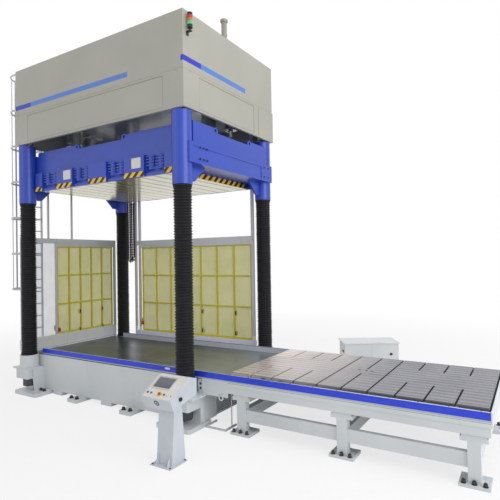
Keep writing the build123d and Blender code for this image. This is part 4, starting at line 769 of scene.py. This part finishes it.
skirt = {"x": 2.514, "y": 1.584, "rows": (5.678, 6.305), "frontX": (-2.35, 4.7, 9), "sideY": (-1.4, 2.8, 5),
         "screw": (0.011, 0.007)}
mesh = bmesh.new()
for z in skirt["rows"]:
    for x in spread(*skirt["frontX"]):
        for sign in (-1, 1):
            addScrew(mesh, facing((x, sign * skirt["y"], z), (0, sign, 0)), *skirt["screw"])
    for y in spread(*skirt["sideY"]):
        for sign in (-1, 1):
            addScrew(mesh, facing((sign * skirt["x"], y, z), (sign, 0, 0)), *skirt["screw"])
makePiece("skirt_screws", mesh, "housing_paint")

vent = {"place": (2.4, -0.17, 7.37), "height": 0.43, "radius": 0.055, "hat": 0.075, "flange": 0.072}
radius, height, hat, flange = vent["radius"], vent["height"], vent["hat"], vent["flange"]
profile = [(flange, 0.0), (flange, 0.012), (radius, 0.016), (radius, 0.10), (radius + 0.006, 0.103),
           (radius + 0.006, 0.118), (radius, 0.121), (radius, height - 0.075),
           (radius - 0.012, height - 0.07), (hat, height - 0.058), (hat, height - 0.012),
           (hat - 0.02, height)]
makeTurned("vent_stack", profile, 40, at(*vent["place"]), "vent_steel", replaced=("vent_pipe",))

tower = {"x": 2.57, "y": -1.452, "first": 7.1, "step": 0.055, "radius": 0.046, "ribs": 6}
for index, colour in enumerate(("green", "amber", "red")):
    low, radius = tower["first"] + index * tower["step"], tower["radius"]
    high = low + tower["step"]
    profile = [(radius - 0.004, low), (radius, low + 0.003)]
    for rib in range(tower["ribs"]):
        z = low + 0.006 + rib * 0.0075
        profile += [(radius - 0.0015, z), (radius, z + 0.003)]
    profile += [(radius, high - 0.004), (radius - 0.004, high)]
    makeTurned(f"lens_{colour}", profile, 32, at(tower["x"], tower["y"]), f"lens_{colour}",
               replaced=(f"signal_lens_{colour}",))

# under the crown: valve blocks, pipes and their flanges beside the cylinders
fittings = {
    "blocks": ((1.98, 0.62), (-1.98, -0.42)), "blockH": 0.30, "top": 6.1, "pipeEnd": 5.72,
    "pipes": ((2.06, 0.34, 0.038), (1.60, -0.36, 0.03), (-1.55, -0.52, 0.038), (-2.08, 0.2, 0.03)),
}
mesh, pipes = bmesh.new(), bmesh.new()
top, foot = fittings["top"], fittings["top"] - fittings["blockH"]
for x, y in fittings["blocks"]:
    addBox(mesh, (x - 0.13, y - 0.10, foot), (x + 0.13, y + 0.10, top))
    addBox(mesh, (x - 0.05, y - 0.16, top - 0.24), (x + 0.05, y - 0.10, top - 0.12))
    union = [(0.055, 0.0), (0.055, 0.03), (0.04, 0.036), (0.04, 0.12), (0.03, 0.13)]
    addLathe(pipes, union, 24, facing((x, y, foot), (0, 0, -1)))
for x, y, radius in fittings["pipes"]:
    low, wide, wider = fittings["pipeEnd"], radius * 1.5, radius * 1.7
    profile = [(radius * 0.8, low), (wide, low + 0.004), (wide, low + 0.05), (radius, low + 0.056),
               (radius, top - 0.056), (wider, top - 0.05), (wider, top)]
    addLathe(pipes, profile, 24, at(x, y))
makePiece("valve_blocks", mesh, "barrel_steel", edge=0.004)
makePiece("crown_pipes", pipes, "barrel_steel")
print("housing and crown trimmed")


# Guards: handles, latch plates, interlocks, strips and screws

guards = {
    "leftHandleY": (0.237, 0.965), "leftX": -2.679, "rearHandleX": (0.441, 1.451), "rearY": 1.517,
    "handleZ": (1.19, 1.67), "handleL": 0.12, "handleOut": 0.035, "bar": 0.012, "thick": 0.009, "foot": 0.02,
    "latch": (0.019, 0.045), "leftLatchX": (-2.6455, -2.6435), "rearLatchY": (1.4815, 1.4835),
}


def addHandle(mesh, point, out):
    # upright D handle on two feet
    point, out, along = Vector(point), Vector(out), Vector((0, 0, 1))
    half = along * guards["handleL"] / 2
    across = out.cross(along).normalized() * guards["thick"]
    reach = out * guards["handleOut"]
    for sign in (-1, 1):
        foot = point + sign * half
        addBox(mesh, foot - across - sign * along * guards["foot"], foot + across + reach)
    inner = out * (guards["handleOut"] - guards["bar"])
    addBox(mesh, point - half - across + inner, point + half + across + reach)


left, rear = bmesh.new(), bmesh.new()
halfL, halfH = guards["latch"]
for z in guards["handleZ"]:
    for y in guards["leftHandleY"]:
        addHandle(left, (guards["leftX"], y, z), (-1, 0, 0))
        addBox(left, *zip(guards["leftLatchX"], (y - halfL, y + halfL), (z - halfH, z + halfH)))
    for x in guards["rearHandleX"]:
        addHandle(rear, (x, guards["rearY"], z), (0, 1, 0))
        addBox(rear, *zip((x - halfL, x + halfL), guards["rearLatchY"], (z - halfH, z + halfH)))
makePiece("left_gate_handles", left, "dark_plastic", "left_gate", edge=0.002)
makePiece("rear_gate_handles", rear, "dark_plastic", "rear_gate", edge=0.002)

switches = {
    "left": ((-2.665, -0.485), (0.025, 0.022)), "rear": ((-1.68, 1.503), (0.022, 0.025)),
    "bottom": 1.24, "neck": 1.345, "top": 1.39, "stem": (0.011, 0.012), "headIn": 0.001,
}
bodies, heads = bmesh.new(), bmesh.new()
bottom, neck, (radius, rise) = switches["bottom"], switches["neck"], switches["stem"]
for (x, y), (halfX, halfY) in (switches["left"], switches["rear"]):
    addBox(bodies, (x - halfX, y - halfY, bottom + rise), (x + halfX, y + halfY, neck))
    addLathe(bodies, [(radius, bottom), (radius, bottom + rise)], 16, at(x, y))
    halfX, halfY = halfX - switches["headIn"], halfY - switches["headIn"]
    addBox(heads, (x - halfX, y - halfY, neck), (x + halfX, y + halfY, switches["top"]))
makePiece("interlock_bodies", bodies, "dark_plastic", replaced=("gate_interlocks",), edge=0.003)
makePiece("interlock_heads", heads, "button_red", replaced=("gate_interlocks",), edge=0.003)

# strips that close the gaps over the gates and under the left board
strips = {
    "left": ((-2.634, -0.458, 3.366), (-2.618, 1.337, 3.44)),
    "rear": ((-1.64, 1.446, 3.326), (1.95, 1.462, 3.40)),
    "sill": ((-2.636, -1.337, 0.862), (-2.61, 1.337, 0.92)),
}
mesh = bmesh.new()
for corners in strips.values():
    addBox(mesh, *corners)
makePiece("guard_strips", mesh, "guard_paint", edge=0.002)

# the interlocks' keys, on the gates' inner corners
keys = {
    "left": ((-2.6455, -0.44, 1.22), (-2.600, -0.38, 1.32)),
    "rear": ((-1.64, 1.437, 1.22), (-1.58, 1.4815, 1.32)),
}
for name, corners in keys.items():
    mesh = bmesh.new()
    addBox(mesh, *corners)
    makePiece(f"{name}_interlock_key", mesh, "button_red", f"{name}_gate", edge=0.004)

# screws where the guard's posts meet the headers
screws = {
    "size": (0.008, 0.006), "leftX": -2.60, "leftY": (-1.376, 1.376, -0.485), "leftZ": (3.47, 3.53),
    "rearX": (-1.83, -1.68, 1.99), "rearY": 1.438, "rearZ": (3.43, 3.49),
}
mesh = bmesh.new()
for y in screws["leftY"]:
    for z in screws["leftZ"]:
        addScrew(mesh, facing((screws["leftX"], y, z), (1, 0, 0)), *screws["size"])
for x in screws["rearX"]:
    for z in screws["rearZ"]:
        addScrew(mesh, facing((x, screws["rearY"], z), (0, -1, 0)), *screws["size"])
makePiece("guard_screws", mesh, "nut_steel")
print("guards trimmed")


# Bed: joint brackets, lifting eye, floor bar, bare plate on the rail, screws

bed = {
    "face": 1.225,
    "bracket": {"x": (2.455, 2.575), "z": (0.665, 0.815), "thick": 0.012, "bolts": (0.70, 0.78)},
    "eye": {"place": (2.96, -1.225, 0.588), "radius": 0.040, "wire": 0.012, "steps": 12},
    "bar": {"x": (2.56, 3.02), "y": (-1.2, -0.85), "tube": 0.03},
    "post": {"x": (2.982, 2.998), "y": (-0.973, -0.957), "z": (0.03, 0.855)},
    "plate": {"x": (1.664, 1.788), "z": (0.934, 0.974), "thick": 0.0025},
    "railScrews": {"x": -1.95, "step": 0.39, "count": 24, "y": 1.2075, "z": 1.0},
}
mesh, bolts = bmesh.new(), bmesh.new()
bracket = bed["bracket"]
(x0, x1), (z0, z1) = bracket["x"], bracket["z"]
outer = bed["face"] + bracket["thick"]
for sign in (-1, 1):
    y0, y1 = sorted((sign * bed["face"], sign * outer))
    addBox(mesh, (x0, y0, z0), (x1, y1, z1))
    addBox(bolts, (x0 - 0.012, y0 - 0.0005, z0 - 0.03), (x0, y1 - 0.008 * sign, z1 + 0.05))
    for z in bracket["bolts"]:
        addScrew(bolts, facing(((x0 + x1) / 2, sign * outer, z), (0, sign, 0)), 0.018, 0.016)
makePiece("joint_brackets", mesh, "bed_paint", edge=0.002)

eye = bed["eye"]
x, y, z = eye["place"]
turns = [2 * math.pi * step / eye["steps"] for step in range(eye["steps"])]
ring = [(eye["radius"] + eye["wire"] * math.cos(turn), eye["wire"] * math.sin(turn)) for turn in turns]
mesh = bmesh.new()
addLathe(mesh, ring, 32, facing((x, y - 0.013, z), (0, -1, 0)), closed=True)
addBox(mesh, (x - 0.02, y - 0.024, z + 0.036), (x + 0.02, y, z + 0.062))
makePiece("lifting_eye", mesh, "barrel_steel", look=brightMetal)

tube, (x0, x1), (y0, y1) = bed["bar"]["tube"], bed["bar"]["x"], bed["bar"]["y"]
mesh = bmesh.new()
addBox(mesh, (x0, y0, 0.0), (x1, y0 + tube, tube))
addBox(mesh, (x0, y0 + tube, 0.0), (x0 + tube, y1, tube))
addBox(mesh, (x1 - tube, y0 + tube, 0.0), (x1, y1, tube))
addBox(mesh, *zip(*bed["post"].values()))
makePiece("floor_bar", mesh, "bed_paint", edge=0.002)

plate = bed["plate"]
mesh = bmesh.new()
addBox(mesh, *zip(plate["x"], (-bed["face"] - plate["thick"], -bed["face"]), plate["z"]))
makePiece("rail_plate", mesh, "button_white", edge=0.0008, look=plateWhite)
# socket screws along the rails
row = bed["railScrews"]
for index in range(row["count"]):
    x = row["x"] + index * row["step"]
    for sign in (-1, 1):
        place = facing((x, sign * row["y"], row["z"]), (0, 0, 1))
        addLathe(bolts, [(0.011, 0.0), (0.011, 0.0015), (0.006, 0.002)], 14, place)
makePiece("bed_screws", bolts, "nut_steel")
print("bed trimmed")


# Console: bezel, rings, emergency stop, lamp, lip cover, screws and gussets

console = {
    "origin": (2.62, -2.785, 0.976), "along": (0.0, 0.84953, 0.52756), "face": 0.004,
    "screen": ((0.075, 0.405), (0.205, 0.410)), "bezel": 0.017, "bezelH": 0.009, "lap": 0.004,
    "buttons": (0.07, 0.14, 0.21, 0.39, 0.46), "row": 0.095, "stop": 0.30, "lamp": 0.515,
    "lip": ((2.905, -2.7485, 0.9139), (0.0, -0.9017, -0.4325)),
    "faceScrews": ((0.024, 0.024), (0.024, 0.467), (0.546, 0.024), (0.546, 0.467)),
    "footScrews": ((2.805, -2.75), (2.805, -2.425), (3.145, -2.75), (3.145, -2.425)),
    "gussets": (2.865, 3.085), "gusset": ((-2.687, 0.015), (-2.687, 0.16), (-2.76, 0.015)), "gussetT": 0.008,
}
ahead, up = Vector((1, 0, 0)), Vector(console["along"])
faceMatrix = at(*console["origin"]) @ Matrix((ahead, up, ahead.cross(up))).transposed().to_4x4()


def onFace(across, up=console["row"]):
    # a place on the sloping face, across it and up it from its lower left corner
    return faceMatrix @ at(across, up)


face, bezel, lap = console["face"], console["bezel"], console["lap"]
high = face + console["bezelH"]
(u0, u1), (v0, v1) = console["screen"]
mesh = bmesh.new()
addBox(mesh, (u0 - bezel, v0 - bezel, face), (u1 + bezel, v0 + lap, high), faceMatrix)
addBox(mesh, (u0 - bezel, v1 - lap, face), (u1 + bezel, v1 + bezel, high), faceMatrix)
addBox(mesh, (u0 - bezel, v0 + lap, face), (u0 + lap, v1 - lap, high), faceMatrix)
addBox(mesh, (u1 - lap, v0 + lap, face), (u1 + bezel, v1 - lap, high), faceMatrix)
ring = [(0.0155, face), (0.0205, face), (0.0205, face + 0.003), (0.0185, face + 0.0055),
        (0.0155, face + 0.0055)]
for across in console["buttons"]:
    addLathe(mesh, ring, 28, onFace(across), closed=True)
makePiece("console_trim", mesh, "barrel_steel", edge=0.0008, look=brightMetal)

stop = onFace(console["stop"])
ring = [(0.0118, face), (0.039, face), (0.039, face + 0.0025), (0.0118, face + 0.0025)]
makeTurned("stop_plate", ring, 36, stop, "gate_yellow", closed=True, look=estopYellow)
profile = [(0.0105, -0.012), (0.0105, 0.014), (0.0175, 0.017), (0.0208, 0.021), (0.0208, 0.0265),
           (0.0185, 0.031), (0.011, 0.0335), (0.003, 0.034)]
makeTurned("stop_mushroom", profile, 32, stop, "button_red", "estop_button", replaced=("estop_button",))
profile = [(0.009, face), (0.009, face + 0.004), (0.006, face + 0.007)]
makeTurned("console_lamp", profile, 20, onFace(console["lamp"]), "lens_red")
profile = [(0.048, -0.002), (0.048, 0.006), (0.042, 0.009), (0.030, 0.009), (0.028, 0.006), (0.012, 0.006),
           (0.010, 0.0095)]
makeTurned("lip_cover", profile, 28, facing(*console["lip"]), "dark_plastic")

mesh = bmesh.new()
for x, y in console["footScrews"]:
    addScrew(mesh, at(x, y, 0.015), 0.011, 0.012)
screw = [(0.005, face), (0.005, face + 0.001), (0.003, face + 0.0018)]
for corner in console["faceScrews"]:
    addLathe(mesh, screw, 14, onFace(*corner))
makePiece("console_screws", mesh, "nut_steel")
# gussets at the foot of the column
mesh = bmesh.new()
for x in console["gussets"]:
    addPrism(mesh, console["gusset"], console["gussetT"], at(x - console["gussetT"] / 2, 0.0))
makePiece("pedestal_gussets", mesh, "pedestal_paint")
print("console trimmed")


# Cabinet: handles, knob, stop and louvres

cabinet = {
    "corner": (3.99, 2.05), "turn": 31.2, "handles": (0.56, 0.64),
    "lock": ((1.03, 0.0, 0.81), (0, -1, 0)), "knob": ((0.0, 0.22, 0.86), (-1, 0, 0)),
    "stop": ((0.0, 0.13, 0.86), (-1, 0, 0)),
    "louvreX": (0.12, 0.78), "louvreZ": 0.20, "louvrePitch": 0.028, "louvres": 7, "louvreL": 0.30,
}
local = at(*cabinet["corner"]) @ Matrix.Rotation(math.radians(cabinet["turn"]), 4, "Z")
mesh = bmesh.new()
for x in cabinet["handles"]:
    addBox(mesh, (x - 0.012, -0.028, 0.52), (x + 0.012, -0.004, 0.66), local)
    addBox(mesh, (x - 0.017, -0.006, 0.50), (x + 0.017, 0.0, 0.68), local)
addLathe(mesh, [(0.028, 0.0), (0.028, 0.02), (0.018, 0.026)], 24, local @ facing(*cabinet["lock"]))
addLathe(mesh, [(0.022, 0.0), (0.022, 0.014), (0.012, 0.018)], 24, local @ facing(*cabinet["knob"]))
makePiece("cabinet_knobs", mesh, "dark_plastic", edge=0.002)
profile = [(0.026, 0.0), (0.026, 0.014), (0.014, 0.02)]
makeTurned("cabinet_stop", profile, 24, local @ facing(*cabinet["stop"]), "button_red")
mesh = bmesh.new()
for x in cabinet["louvreX"]:
    for index in range(cabinet["louvres"]):
        z = cabinet["louvreZ"] + index * cabinet["louvrePitch"]
        outline = [(0.0, z), (0.0, z + 0.018), (-0.010, z + 0.004)]
        addPrism(mesh, outline, cabinet["louvreL"], local @ at(x, 0.0))
makePiece("cabinet_louvres", mesh, "cabinet_paint")
print("cabinet trimmed")


# Camera at the photograph's place

view = {
    "place": (7.636, -7.685, 3.001), "turns": ((31.269, "Z"), (90.694, "X"), (-0.936, "Z")),
    "lens": 32.927, "shift": (-0.0126, 0.0044), "reach": 200.0,
}
camera = addObject("camera", bpy.data.cameras.new("camera"))
camera.data.lens = view["lens"]
camera.data.shift_x, camera.data.shift_y = view["shift"]
camera.data.clip_end = view["reach"]
turned = at(*view["place"])
for degrees, axis in view["turns"]:
    turned = turned @ Matrix.Rotation(math.radians(degrees), 4, axis)
camera.matrix_world = turned
bpy.context.scene.camera = camera


# Pale floor, pale surroundings and soft lamps

studio = {
    "floor": rgb(243, 243, 242), "radius": 60.0, "drop": 0.0005, "horizon": (7.0, 16.0),
    "glow": 0.74, "white": rgb(255, 255, 255), "world": 0.56, "aim": (0.5, 0.0, 3.0),
    "lamps": (((14.0, -3.5, 7.0), 9.0, 760.0), ((-5.0, -13.0, 8.0), 9.0, 150.0),
              ((2.0, 2.0, 16.0), 12.0, 460.0)),
}
graph = Graph("floorPaint")
x, y = graph.place()[:2]
distance = (x ** 2.0 + y ** 2.0) ** 0.5
shown = graph.paleRays()
grain = graph.noise(0.8, detail=2.0)
tone = graph.mix(grain.fade(0.3, 0.7), shade(studio["floor"], 0.985), studio["floor"])
matt = graph.node("BsdfDiffuse", None, {"Color": tone})
glow = graph.node("Emission")
amount = distance.fade(*studio["horizon"]) * (1.0 - studio["glow"]) + studio["glow"]
graph.node("OutputMaterial", None, {0: graph.node("MixShader", None, {0: shown * amount, 1: matt, 2: glow})})
mesh = bmesh.new()
bmesh.ops.create_circle(mesh, cap_ends=True, segments=64, radius=studio["radius"])
floor = addMesh("floor", mesh, graph.material)
floor.location.z = -studio["drop"]

world = bpy.data.worlds.new("world")
bpy.context.scene.world = world
graph = Graph("surroundings", world)
strength = graph.paleRays() * (1.0 - studio["world"]) + studio["world"]
backdrop = graph.node("Background", None, {"Color": studio["white"], "Strength": strength})
graph.node("OutputWorld", None, {0: backdrop})

for index, (point, size, power) in enumerate(studio["lamps"]):
    lamp = bpy.data.lights.new(f"lamp_{index}", "AREA")
    lamp.size = size
    lamp.energy = power
    addObject(lamp.name, lamp).matrix_world = facing(point, Vector(point) - Vector(studio["aim"]))
bpy.context.scene.view_settings.view_transform = "Standard"
print("camera, floor and lamps set")
